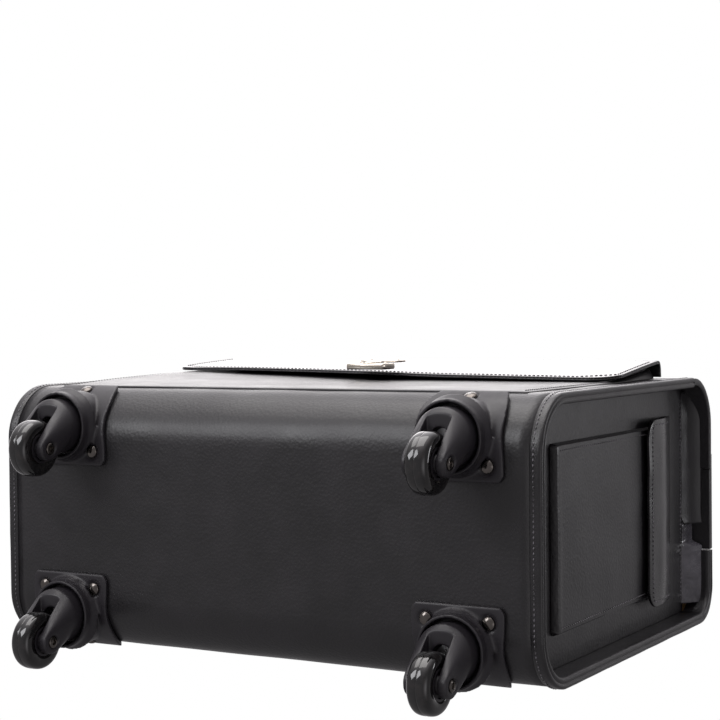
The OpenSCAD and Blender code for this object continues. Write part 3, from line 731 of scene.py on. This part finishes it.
class CASE_OT_ends(bpy.types.Operator):
    """Each end of the box: its panel, slip pocket with flap, stitching and crushed gusset"""
    bl_idname = "pilot_case.ends"
    bl_label = "Ends"

    HEM_Z = span("end_panel_right")[1].z + 10      # top of the end panel's hide, over the gusset's foot

    def execute(self, context):
        for side, word in ((-1, "left"), (1, "right")):
            self.panel(side, word)
            self.pocket(side, word)
            self.flap(side, word)
            self.gusset(side, word)
        return done(2)

    def panel(self, side, word):
        low, high = span(f"end_panel_{word}")
        half = (high.y - low.y) / 2 + 0.4

        def place(u, v):
            z = low.z - 0.4 + (self.HEM_Z - low.z + 0.4) * v
            wide = arched_width(half, low.z - 0.4, BOTTOM_R - BOARD_IN, z)
            crown = 0.9 * (1 - (2 * u - 1) ** 6) * (1 - (2 * v - 1) ** 8)
            spot = Vector((PANEL_X - 0.4 + crown, (2 * u - 1) * wide, z))
            spot.x += 0.25 * soft_noise(spot, 30, 5.0 + side)
            return mirrored(side, spot)

        cut_edge(skin(f"end_panel_hide_{word}", 60, 90, place, (0, 0, high.z / 2), "case", "panel_hide",
                      [f"end_panel_{word}"]), 2.6)
        hem = [place(0.06 + 0.88 * t / 60, 0.985) + mirrored(side, (0.25, 0, 0)) for t in range(61)]
        stitches(f"end_hem_stitches_{word}", "case", [hem])

    def pocket(self, side, word):
        low, high = span(f"end_pocket_{word}")
        middle, half = (low.y + high.y) / 2, (high.y - low.y) / 2
        deep = high.x - low.x

        def place(u, v):
            across = abs(2 * u - 1)
            z = low.z + (high.z - low.z) * v
            edge = max(0.0, 1 - across ** 40)
            foot = 1 - math.exp(-(z - low.z) / 1.1)
            crown = 0.8 * math.cos(across * math.pi / 2) * min(1.0, v * 4)
            roll = 0.5 * math.exp(-((z - low.z - 4) / 3.5) ** 2)
            out = 0.8 + (deep - 2.4 - 2.4 * v ** 3 + crown + roll) * edge ** 0.14 * foot ** 0.6
            y = middle + (2 * u - 1) * (half - 2.5 * (1 - min(1.0, (z - low.z) / 3)) ** 2)
            spot = Vector((PANEL_X + out, y, z))
            spot.x += 0.45 * soft_noise(spot, 34, 7.0 + side) * edge * foot
            return mirrored(side, spot)

        cut_edge(skin(f"end_pocket_hide_{word}", 72, 80, place, (0, 0, high.z / 2), "case", "panel_hide",
                      [f"end_pocket_{word}"]), 1.4, 0.45)
        rows = [[place(0.5 + edge * (0.5 - 5.0 / (2 * half)), 0.035 + 0.95 * t / 50) + mirrored(side,
                                                                                                (0.15, 0, 0))
                 for t in range(51)] for edge in (-1, 1)]
        stitches(f"end_pocket_stitches_{word}", "case", rows)

    def flap(self, side, word):
        low, high = span(f"end_flap_{word}")
        middle, half = (low.y + high.y) / 2, (high.y - low.y) / 2
        outer = max(abs(low.x), abs(high.x)) - PANEL_X
        drop = high.z - low.z

        def place(u, v):
            z = high.z - 1.4 - (drop + 7.6) * v
            turn = min(1.0, (high.z - 1.4 - z) / 46) * math.pi / 2
            out = 1.9 + (outer - 1.9) * math.sin(turn)
            wide = arched_width(half, low.z - 9, 13, z)
            crown = 0.9 * (1 - (2 * u - 1) ** 4) * math.sin(v * math.pi)
            edge = 0.5 * math.exp(-((1 - v) / 0.06) ** 2)
            wave = 0.5 * math.sin(u * 17 + 0.8) * (1 - v) ** 3
            spot = Vector((PANEL_X + out + crown - edge, middle + (2 * u - 1) * wide, z + wave))
            spot.x += 0.4 * soft_noise(spot, 22, 9.0 + side)
            return mirrored(side, spot)

        cut_edge(skin(f"end_flap_hide_{word}", 72, 44, place, (0, 0, high.z / 2), f"end_flap_{word}",
                      "glossy_hide",
                      [f"end_flap_{word}"]), 2.2, 0.7, 3)
        inset = 4.0 / (2 * half)
        lift = mirrored(side, (0.15, 0, 0))
        border = [place(inset, 0.22 + 0.66 * t / 24) + lift for t in range(25)]
        border += [place(inset + (1 - 2 * inset) * t / 40, 0.93 - 0.0012 * abs(20 - t)) + lift
                   for t in range(1, 40)]
        border += [place(1 - inset, 0.88 - 0.66 * t / 24) + lift for t in range(25)]
        stitches(f"end_flap_stitches_{word}", f"end_flap_{word}", [border])

    def gusset(self, side, word):
        low, high = span(f"end_gusset_{word}")
        fold_start, fold_end = RAIL_Y - 9, high.y

        base, top = self.HEM_Z - 3, TOP - 4.5

        def wing(u, v):
            y = low.y - 3 + (fold_start - 10 - low.y) * u
            front = max(0.0, FRONT + FRONT_TOP_R - y)
            roof = top - FRONT_TOP_R + 5 + math.sqrt(max(0.0, (FRONT_TOP_R - 5) ** 2 - front ** 2))
            behind = max(0.0, y - (fold_start - 26))
            foot = base + 16 - math.sqrt(max(0.0, 256 - behind ** 2))
            z = foot + (max(roof, foot + 0.5) - foot) * v
            up = max(0.0, min(1.0, (z - base) / (top - base)))
            spot = Vector((PANEL_X - 0.8 + 3.0 * up + 7.5 * up ** 3 + 1.2 * (behind / 16) ** 2, y, z))
            spot.x += 0.35 * soft_noise(spot, 18, 11.0 + side)
            return mirrored(side, spot)

        def fold(u, v):
            y = fold_start - 24 + (fold_end + 4 - fold_start + 24) * u
            rise = high.z + 2.5 - max(0.0, y - (BACK - REAR_TOP_R)) ** 2 / 42
            z = base + (max(rise, base + 4) - base) * v
            full = max(0.0, min(1.0, (y - fold_start - 1) / 4))
            out = -1.5 + 12.0 * v ** 0.9 * (0.3 + 0.7 * full)
            spot = Vector((PANEL_X + out, y, z))
            crush = noise.ridged_multi_fractal(Vector((spot.x / 30, spot.y / 9, spot.z / 40)), 0.9, 2.1, 3,
                                               0.9, 1.8)
            spot.x += (crush - 1.1) * 1.1 * full * min(1.0, (1 - u) * 5) * min(1.0, v * 3) * min(1.0,
                                                                                                 (1 - v) * 6)
            spot.z += 0.6 * soft_noise(spot, 12, 2.0) * min(1.0, (1 - v) * 6)
            return mirrored(side, spot)

        cut_edge(skin(f"gusset_wing_{word}", 60, 22, wing, (0, 0, 0), "case", "hide"), 1.4)
        # The fold's pale grey is painted sheen from its material, not the hide's own colour.
        cut_edge(skin(f"gusset_fold_{word}", 70, 54, fold, (0, 0, 0), "case", "crushed_hide_painted_sheen",
                      [f"end_gusset_{word}"]), 1.4)


FLAP_HINGE = joint_point("pocket_flap_fold")
FLAP_LOW, FLAP_HIGH = span("pocket_flap")
POCKET_LOW, POCKET_HIGH = span("front_pocket")


class CASE_OT_front_pocket(bpy.types.Operator):
    """The front pocket, its wide flap of two bonded hides, and its nickel push lock"""
    bl_idname = "pilot_case.front_pocket"
    bl_label = "Front pocket"

    def execute(self, context):
        self.pocket()
        self.flap(context.scene.case_leather.flap_mm)
        self.lock()
        return done(1)

    def flap_room(self, u):
        """How far the flap's free edge hangs from the box: the flap lies closer to it at its right end."""
        right = max(0.0, min(1.0, (u - 0.1) / 0.85))
        return 7.8 - 5.6 * right * right * (3 - 2 * right)

    def pocket(self):
        half, low_z, high_z = POCKET_HIGH.x, POCKET_LOW.z, POCKET_HIGH.z
        deep = FRONT - POCKET_LOW.y

        def place(u, v):
            z = low_z + (high_z - low_z) * v
            room = self.flap_room(u) - 0.7 - 3.4 * math.sin(math.pi * u)
            under = max(1.1, room) * min(1.0, v / 0.5) ** 0.6
            belly = under + (deep - 0.6 - under) * max(0.0, (v - 0.6) / 0.4) ** 1.3
            side = (1 - abs(2 * u - 1) ** 30) ** 0.5
            foot = 1 - math.exp(-(z - low_z) / 0.8)
            spot = Vector(((2 * u - 1) * half, FRONT - 0.7 - max(0.6, belly - 0.7) * side * foot, z))
            spot.y += 0.4 * soft_noise(spot, 70, 13.0) * side * foot * min(1.0, belly / 4)
            return spot

        cut_edge(skin("front_pocket_hide", 120, 60, place, (0, 0, high_z / 2), "case", "hide",
                      ["front_pocket"]), 1.5, 0.5)
        inset = 5 / (2 * half)
        out = Vector((0, -0.2, 0))
        rows = [[place(u, 0.03 + 0.96 * t / 50) + out for t in range(51)] for u in (inset, 1 - inset)]
        rows.append([place(inset + (1 - 2 * inset) * t / 50, 0.97) + out for t in range(51)])
        stitches("front_pocket_stitches", "case", rows)

    def flap(self, thickness):
        half, low_z, high_z = FLAP_HIGH.x + 3.5, FLAP_LOW.z, FLAP_HIGH.z
        face = FLAP_LOW.y + 0.2
        reach = FLAP_HINGE.y - face

        def shape(u, v, inward=0.0, shrink=0.0):
            roll = 0.14
            if v < roll:
                turn = v / roll * math.pi / 2
                y = FLAP_HINGE.y - reach * math.sin(turn) ** 0.9
                z = high_z - 6 * (1 - math.cos(turn)) ** 1.3
            else:
                y, z = face, high_z - 6 - (high_z - 6 - low_z - shrink) * (v - roll) / (1 - roll)
            wide = arched_width(half - shrink, low_z + shrink, 20, z)
            spot = Vector(((2 * u - 1) * wide, y, z))
            spot.y += 0.6 * soft_noise(spot, 90, 17.0) * min(1.0, v * 3)
            spot.y += (FRONT - self.flap_room(u) - thickness - face) * max(0.0,
                                                                           (v - roll) / (1 - roll)) ** 1.1
            depth = inward * (1.0 if v > roll else math.sin(turn))
            return spot + Vector((0, depth, -inward * (1 - min(1.0, v / roll))))

        # The core layer takes the thread's painted grey, which shows as a light line along the flap's edge.
        # Each layer's place in the flap, its thickness, how far it stops short of the edge, and its hide
        layers = (("outer", 0.0, 0.46, 0.0, "glossy_hide"), ("core", 0.45, 0.14, 0.25, "thread"),
                  ("lining", 0.58, 0.42, 0.0, "binding_hide"))
        for word, depth, share, shrink, material in layers:
            inward, thick = thickness * depth, thickness * share
            made = skin(f"pocket_flap_{word}", 120, 50, lambda u, v, i=inward, s=shrink: shape(u, v, i, s),
                        (0, 0, high_z / 2), "pocket_flap", material,
                        ["pocket_flap"] if word == "outer" else [])
            cut_edge(made, thick, 0.35 if word != "core" else None, 3)
        inset = 4 / (2 * half)
        out = Vector((0, -0.15, 0))
        border = [shape(inset, 0.2 + 0.66 * t / 40) + out for t in range(41)]
        border += [shape(inset + (1 - 2 * inset) * t / 80,
                         0.965 - 0.1 * max(0.0, abs(t / 40 - 1) - 0.9) / 0.1) + out
                   for t in range(1, 80)]
        border += [shape(1 - inset, 0.86 - 0.66 * t / 40) + out for t in range(41)]
        stitches("pocket_flap_stitches", "pocket_flap", [border])

    def lock(self):
        low, high = span("pocket_lock_plate")
        bm = bmesh.new()
        box(bm, low, high, 1.2)
        for x in (-11.0, 11.0):
            turned(bm, [(0, 0), (1.9, 0), (1.9, -0.5), (1.2, -1.1), (0, -1.3)], (x, low.y, high.z - 5), "Y",
                   20)
        button = span("pocket_lock_button")
        middle = (button[0] + button[1]) / 2
        turned(bm, round_profile((4.4, 0), (6.2, 0), (6.2, -0.9), (4.4, -0.9), (4.4, 0), radius=0.4),
               (middle.x, low.y, middle.z), "Y", 40)
        finish_piece("pocket_lock_case", bm, "case", "nickel", ["pocket_lock_plate"])
        bm = bmesh.new()
        turned(bm, round_profile((0, 2.3), (3.9, 2.3), (3.9, 0.2), (2.9, 0.0), (0, 0.5), radius=0.5),
               (middle.x, button[0].y, middle.z), "Y", 40)
        finish_piece("pocket_lock_push", bm, "pocket_lock_button", "nickel", ["pocket_lock_button"])
        low, high = span("pocket_lock_hasp")
        bm = bmesh.new()
        foot = FLAP_LOW.z + 1
        box(bm, (low.x, low.y - 0.2, foot), (high.x, high.y, high.z), 0.7)
        box(bm, (-8, low.y, low.z), (8, high.y, foot + 2), 0.6)
        for x in (-12.5, 12.5):
            turned(bm, [(0, 0.3), (2.1, 0.3), (2.0, -0.3), (1.3, -0.9), (0, -1.1)], (x, low.y, foot + 9), "Y",
                   24)
        bump = round_profile((0, 0.4), (3.2, 0.4), (3.0, -0.5), (0, -0.8), radius=0.4)
        turned(bm, bump, (0, low.y, foot + 8), "Y", 32)
        finish_piece("pocket_lock_strap", bm, "pocket_flap", "nickel", ["pocket_lock_hasp"])


class CASE_OT_top(bpy.types.Operator):
    """The two flaps of the top, the padded middle and the two latches"""
    bl_idname = "pilot_case.top"
    bl_label = "Top flaps and latches"

    def execute(self, context):
        self.front_flap()
        self.rear_flap()
        self.pad()
        self.latches()
        return done(1)

    def front_flap(self):
        half, rear, _ = span("front_flap")[1]

        def draw(bm, x, inset):
            return front_flap_wire(bm, x, inset, rear)

        columns = [-half + 2 * half * t / 46 for t in range(47)]
        section = [(x, -0.1) for x in columns] + [(half + 0.7, 0.8), (half + 0.9, 2.6), (half + 0.7, 4.4)]
        section += [(x, 5.2) for x in reversed(columns)] + [(-half - 0.7, 4.4), (-half - 0.9, 2.6),
                                                            (-half - 0.7, 0.8)]
        bm = bmesh.new()
        swept_section(bm, section, draw)
        bmesh.ops.recalc_face_normals(bm, faces=bm.faces)
        ruffle(bm, 0.2, 40, 19.0)
        finish_piece("front_flap_hide", bm, "front_flap", "hide", ["front_flap"])
        rows = [chain_points(front_flap_wire, side * (half - 5), -0.25, rear) for side in (-1, 1)]
        stitches("front_flap_stitches", "front_flap", rows)

    def rear_flap(self):
        low, high = span("rear_flap")
        lip_low, top = TOP + 0.6, TOP + 2.6
        joint = span("front_flap")[1].y + 0.6
        bm = bmesh.new()
        profile = [(low.y + 0.4, lip_low), (low.y, lip_low + 0.6), (low.y, top - 0.8), (low.y + 0.8, top),
                   (high.y - 0.8, top), (high.y, top - 0.8), (high.y, low.z), (joint, low.z),
                   (joint, lip_low)]
        half = RIM_X - 0.6
        face = bm.faces.new([bm.verts.new((-half, y, z)) for y, z in profile])
        moved = bmesh.ops.extrude_face_region(bm, geom=[face])["geom"]
        bmesh.ops.translate(bm, verts=[g for g in moved if isinstance(g, bmesh.types.BMVert)],
                            vec=(2 * half, 0, 0))
        made = finish_piece("rear_flap_hide", bm, "rear_flap", "hide", ["rear_flap"])
        round_edges(made, 0.6, 3, 40)
        around = [(-1, -1), (1, -1), (1, 1), (-1, 1), (-1, -1)]
        y_middle, y_half = (low.y + high.y) / 2, (high.y - low.y) / 2 - 3
        rows = [[Vector((x1 * (half - 3), y_middle + y1 * y_half, top + 0.1)),
                 Vector((x2 * (half - 3), y_middle + y2 * y_half, top + 0.1))]
                for (x1, y1), (x2, y2) in zip(around, around[1:])]
        stitches("rear_flap_stitches", "rear_flap", rows)

    def pad(self):
        high = span("rear_flap")[1]
        y0, y1 = -17.0, RAIL_Y - 9
        half, base = high.x - 7, TOP + 2.3
        tall = high.z - base

        def place(u, v):
            across, along = abs(2 * v - 1), abs(2 * u - 1)
            rise = (1 - across ** 5) ** 0.5 * (1 - along ** 40) ** 0.5
            y = (y0 + y1) / 2 + (2 * v - 1) * ((y1 - y0) / 2 - 0.3 * (1 - along ** 8))
            spot = Vector(((2 * u - 1) * half, y, base + tall * rise))
            spot.z += 0.35 * soft_noise(spot, 26, 23.0) * rise
            return spot

        made = skin("top_pad", 150, 36, place, (0, 0, 0), "rear_flap", "glossy_hide")
        cut_edge(made, 1.2)

    def latches(self):
        rounding = {"latch_cases": ("lock_cases", 0.9), "latch_hasps": ("lock_hasps", 0.6),
                    "latch_slide_left": ("lock_button_left", 0.5),
                    "latch_slide_right": ("lock_button_right", 0.5)}
        for name, (node, width) in rounding.items():
            softened(name, node, body_of(node), "nickel", width)
        low, high = span("lock_cases")
        bm = bmesh.new()
        for side in (-1, 1):
            for x in (-19, 19):
                spot = (side * (high.x - 22) + x, (low.y + high.y) / 2 + 6, high.z)
                turned(bm, [(0, 0.9), (1.2, 0.7), (1.9, 0.0), (1.9, -0.4), (0, -0.4)], spot, "Z", 24)
        finish_piece("latch_rivets", bm, "front_flap", "nickel")


class CASE_OT_carry_handle(bpy.types.Operator):
    """The padded carry handle, sewn round a core, and the two saddles that hold its rings"""
    bl_idname = "pilot_case.carry_handle"
    bl_label = "Carry handle"

    def execute(self, context):
        low = span("carry_handle")[0]
        pivot = joint_point("carry_handle_swing")
        steps, around = 56, 28
        half = span("handle_rings")[1].x - 9.4
        grip_y, grip_z = low.y + 6.4, low.z + 6.4
        end_y, end_z = pivot.y - 12, pivot.z

        def centre(t):
            x = -half + 2 * half * t
            bend = max(0.0, abs(x) - half * 0.6) / (half * 0.4)
            ease = bend * bend * (3 - 2 * bend)
            return Vector((x, grip_y + (end_y - grip_y) * ease, grip_z + (end_z - grip_z) * ease)), ease

        bm = bmesh.new()
        rings = []
        for i in range(steps + 1):
            spot, ease = centre(i / steps)
            ring = bmesh.ops.create_circle(bm, segments=around, radius=1)["verts"]
            wide = 6.3 - 2.3 * ease + 0.25 * math.sin(i / steps * math.pi)
            flat = 6.2 - 2.4 * ease
            for vert in ring:
                angle = math.atan2(vert.co.y, vert.co.x)
                seam = 0.55 * math.exp(-((angle + math.pi / 2) / 0.16) ** 2)
                vert.co = spot + Vector((0, wide * math.cos(angle), (flat + seam) * math.sin(angle)))
            rings.append(ring)
        for one, two in zip(rings, rings[1:]):
            edges = {e for v in one + two for e in v.link_edges if e.other_vert(v) in set(one) | set(two)}
            bmesh.ops.bridge_loops(bm, edges=[e for e in edges if not e.link_faces or len(e.link_faces) < 2])
        for ring in (rings[0], rings[-1]):
            bmesh.ops.contextual_create(bm, geom=ring)
        bmesh.ops.recalc_face_normals(bm, faces=bm.faces)
        ruffle(bm, 0.18, 9, 29.0)
        made = finish_piece("carry_grip", bm, "carry_handle", "glossy_hide", ["carry_handle"])
        under = [centre(t / 60)[0] + Vector((0, 2.2, -6.1 + 2.3 * centre(t / 60)[1])) for t in range(4, 57)]
        stitches("carry_grip_stitches", "carry_handle", [under])
        softened("handle_saddles", "handle_mounts", "rear_flap", "nickel", 0.7)
        return done(1)


class CASE_OT_trolley(bpy.types.Operator):
    """The telescoping handle's tray, ribbed grip and release button"""
    bl_idname = "pilot_case.trolley"
    bl_label = "Trolley handle"

    def execute(self, context):
        softened("trolley_well", "trolley_tray", "case", "abs", 0.5)
        softened("trolley_handgrip", "trolley_grip", "trolley_inner", "abs", 1.2)
        softened("trolley_release", "trolley_button", "trolley_button", "nickel", 1.0)
        low, high = span("trolley_grip")
        bm = bmesh.new()
        for side in (-1, 1):
            for i in range(9):
                x = side * (34 + 7 * i)
                box(bm, (x - 1.3, low.y + 3, high.z - 0.4), (x + 1.3, high.y - 3, high.z + 0.6), 0.45, 2)
        finish_piece("trolley_grip_ribs", bm, "trolley_inner", "abs")
        return done(1)


class CASE_OT_castors(bpy.types.Operator):
    """Four swivel castors: moulded housings and forks, turned tyres and hubs, and their rivets"""
    bl_idname = "pilot_case.castors"
    bl_label = "Castors"

    def execute(self, context):
        for corner in CORNERS:
            swivel = joint_point(f"swivel_{corner}")
            axle = joint_point(f"wheel_{corner}_roll")
            self.housing(corner, swivel)
            self.fork(corner)
            self.wheel(corner, axle)
        self.rivets()
        return done(len(CORNERS))

    def moulded(self, name, bm, body, replaces, voxel, passes):
        """Rounds a drawing all over, as a moulding's fillets do."""
        made = finish_piece(name, bm, body, "nylon", replaces, sharp=180)
        modifier(made, "REMESH", mode="VOXEL", voxel_size=voxel * MM, use_smooth_shade=True)
        modifier(made, "SMOOTH", factor=0.5, iterations=passes)
        settle_modifiers(made)

    def housing(self, corner, swivel):
        bm = copy_of(f"caster_housing_{corner}")
        low, high = span(f"caster_housing_{corner}")
        outward = -1 if swivel.y < 0 else 1
        bmesh.ops.triangulate(bm, faces=bm.faces)
        for axis, count in (((1, 0, 0), 18), ((0, 1, 0), 14)):
            for i in range(1, count):
                at = low + (high - low) * (i / count)
                bmesh.ops.bisect_plane(bm, geom=[*bm.verts, *bm.edges, *bm.faces], plane_co=at, plane_no=axis)
        half = (high.x - low.x) / 2
        for vert in bm.verts:
            away = (vert.co.y - swivel.y) * outward
            u = vert.co.x - swivel.x
            if abs(u) < 20:
                continue
            round_corner = max(0.0, -away - 25.5) ** 2 * 0.13
            climb = max(0.0, min(1.0, (vert.co.z + 2) / (high.z + 2)))
            waist = 1.8 * math.exp(-((away - 2) / 12) ** 2) + 9.0 * climb ** 1.4 + round_corner
            reach = (abs(u) - 20) / (half - 20)
            vert.co.x = swivel.x + math.copysign(abs(u) - waist * reach, u)
        self.moulded(f"castor_housing_{corner}", bm, "case", [f"caster_housing_{corner}"], 0.8, 5)

    def fork(self, corner):
        bm = copy_of(f"fork_{corner}")
        self.moulded(f"castor_fork_{corner}", bm, f"fork_{corner}", [f"fork_{corner}"], 0.7, 9)

    def wheel(self, corner, axle):
        low, high = span(f"tyre_{corner}")
        half, radius = (high.x - low.x) / 2, (high.z - low.z) / 2
        hub = span(f"hub_{corner}")
        inner = (hub[1].z - hub[0].z) / 2
        right = [(inner, half - 0.9), (inner + 1.5, half - 0.4), (radius - 5.4, half),
                 (radius - 2.2, half - 0.9),
                 (radius - 0.5, half - 3.0), (radius, half - 5.8), (radius, 0.5), (radius - 0.25, 0.0)]
        profile = [(r, -x) for r, x in right] + [(r, x) for r, x in reversed(right[:-1])]
        bm = bmesh.new()
        turned(bm, round_profile(*profile, radius=1.6, steps=3), axle, "X", 96)
        finish_piece(f"castor_tyre_{corner}", bm, f"wheel_{corner}", "tyre", [f"tyre_{corner}"],
                     sharp=60)
        bm = bmesh.new()
        bore, wide = 3.05, (hub[1].x - hub[0].x) / 2
        right = [(bore, wide), (6.0, wide), (6.6, wide - 1.0), (6.9, wide - 2.6), (8.8, wide - 2.6),
                 (9.4, wide - 0.9),
                 (inner, wide - 0.9)]
        closed = [(r, -x) for r, x in right] + [(r, x) for r, x in reversed(right)] + [(bore, -wide)]
        turned(bm, closed, axle, "X", 64)
        finish_piece(f"castor_hub_{corner}", bm, f"wheel_{corner}", "nylon",
                     [f"hub_{corner}"])
        pin = span(f"axle_{corner}")
        wide, radius = (pin[1].x - pin[0].x) / 2, 3.0
        head = [(radius, wide - 1.5), (4.3, wide - 1.5), (4.3, wide - 0.5), (3.7, wide), (2.3, wide),
                (1.9, wide - 1.4),
                (0.0, wide - 1.4)]
        profile = [(r, -x) for r, x in reversed(head)] + head
        bm = bmesh.new()
        turned(bm, profile, axle, "X", 40)
        # The pin's darkened nickel is painted shade.
        finish_piece(f"castor_pin_{corner}", bm, f"fork_{corner}", "rivet", [f"axle_{corner}"])

    def rivets(self):
        # The rivets' darkened nickel is painted shade.
        made = finish_piece("castor_rivets", copy_of("caster_rivets"), "case", "rivet",
                            ["caster_rivets"],
                            sharp=50, fix_normals=False)
        round_edges(made, 0.3, 2, 50)


class CASE_OT_stage(bpy.types.Operator):
    """The floor, the studio's lights and the camera, which looks up at the case's underside"""
    bl_idname = "pilot_case.stage"
    bl_label = "Studio"

    # The studio's white walls: the way to each, how tight its glow is, and how strong
    SOFT_WALLS = (((-0.5, -0.35, 0.8), 5.0, 1.35), ((-0.1, -1.0, 0.05), 4.0, 1.5),
                  ((-0.5, 0.1, -0.85), 1.5, 0.14),
                  ((0.82, 0.1, -0.55), 14.0, 0.9))

    def execute(self, context):
        studio = context.scene.case_studio
        self.floor()
        self.world(context, studio.fill)
        warm, cool = (1.0, 0.975, 0.95), (0.97, 0.97, 1.0)
        self.light("front_sheet", (-0.35, -1.9, 0.0), (-0.1, -0.1, 0.15), (1.7, 1.6), 19, warm)
        self.light("end_sheet", (1.5, -0.1, 1.5), (0.22, 0.0, 0.25), (0.35, 0.5), 2.2, cool)
        self.light("low_sheet", (-0.9, -1.0, -1.3), (0.0, 0.0, 0.05), (1.0, 0.7), 11, cool)
        self.light("top_sheet", (-1.0, -0.4, 1.7), (0.0, 0.0, 0.3), (1.3, 1.2), 6, warm)
        self.camera(context, studio.lens_mm)
        context.scene.view_settings.view_transform = "Standard"
        return done(1)

    def floor(self):
        bm = bmesh.new()
        bmesh.ops.create_grid(bm, x_segments=1, y_segments=1, size=4.0)
        mesh = bpy.data.meshes.new("studio_floor")
        bm.to_mesh(mesh)
        bm.free()
        mesh.materials.append(MATERIALS["floor"])
        floor = bpy.data.objects.new("studio_floor", mesh)
        bpy.context.scene.collection.objects.link(floor)

    def world(self, context, fill):
        world = bpy.data.worlds.new("studio")
        context.scene.world = world
        world.use_nodes = True
        tree = world.node_tree
        plain = tree.nodes["Background"]
        plain.inputs["Color"].default_value = (1, 1, 1, 1)
        plain.inputs["Strength"].default_value = 1.0
        place = add_node(tree, "ShaderNodeTexCoord").outputs["Generated"]
        total = fill
        for towards, tightness, strength in self.SOFT_WALLS:
            facing = add_node(tree, "ShaderNodeVectorMath", {"operation": "DOT_PRODUCT"}, i0=place,
                              i1=Vector(towards).normalized())
            glow = sum_of(tree, "POWER", sum_of(tree, "MAXIMUM", facing.outputs["Value"], 0.0), tightness)
            total = sum_of(tree, "MULTIPLY_ADD", glow, strength, total)
        lit = add_node(tree, "ShaderNodeBackground", Strength=total, Color=(1.0, 0.965, 0.995, 1.0))
        path = add_node(tree, "ShaderNodeLightPath")
        mix = add_node(tree, "ShaderNodeMixShader", i0=path.outputs["Is Camera Ray"],
                       i1=lit.outputs["Background"],
                       i2=plain.outputs["Background"])
        tree.links.new(mix.outputs["Shader"], tree.nodes["World Output"].inputs["Surface"])

    def light(self, name, place, target, size, power, colour):
        data = bpy.data.lights.new(name, "AREA")
        data.shape = "RECTANGLE"
        data.size, data.size_y = size
        data.energy = power
        data.color = colour
        lamp = bpy.data.objects.new(name, data)
        bpy.context.scene.collection.objects.link(lamp)
        lamp.location = place
        lamp.rotation_euler = (Vector(target) - Vector(place)).to_track_quat("-Z", "Y").to_euler()

    def camera(self, context, lens):
        data = bpy.data.cameras.new("camera")
        data.lens = lens
        data.sensor_width = 36
        data.clip_start, data.clip_end = 0.05, 20
        camera = bpy.data.objects.new("camera", data)
        context.scene.collection.objects.link(camera)
        camera.location = MIDDLE + Vector((0.68426, -0.15281, -1.02930))
        camera.rotation_euler = [math.radians(a) for a in (178.165, -29.947, 0.6815)]
        context.scene.camera = camera


OPERATORS = (CASE_OT_finishes, CASE_OT_cover, CASE_OT_rims, CASE_OT_ends, CASE_OT_front_pocket, CASE_OT_top,
             CASE_OT_carry_handle, CASE_OT_trolley, CASE_OT_castors, CASE_OT_stage)
SETTINGS = {"case_leather": CaseLeather, "case_thread": CaseThread, "case_studio": CaseStudio}


class CASE_PT_panel(bpy.types.Panel):
    """Lists the case's settings and the pieces that can be made"""
    bl_idname = "CASE_PT_panel"
    bl_label = "Pilot case"
    bl_space_type = "VIEW_3D"
    bl_region_type = "UI"
    bl_category = "Pilot case"

    def draw(self, context):
        for key, group in SETTINGS.items():
            for name in group.__annotations__:
                self.layout.prop(getattr(context.scene, key), name)
        for operator in OPERATORS:
            self.layout.operator(operator.bl_idname)


def register():
    for item in (*SETTINGS.values(), *OPERATORS, CASE_PT_panel):
        bpy.utils.register_class(item)
    for key, group in SETTINGS.items():
        setattr(bpy.types.Scene, key, PointerProperty(type=group))


def unregister():
    for key in SETTINGS:
        delattr(bpy.types.Scene, key)
    for item in reversed((*SETTINGS.values(), *OPERATORS, CASE_PT_panel)):
        bpy.utils.unregister_class(item)


def main():
    register()
    for operator in OPERATORS:
        family, name = operator.bl_idname.split(".")
        getattr(getattr(bpy.ops, family), name)()
    bpy.context.view_layer.update()


if __name__ == "__main__":
    main()
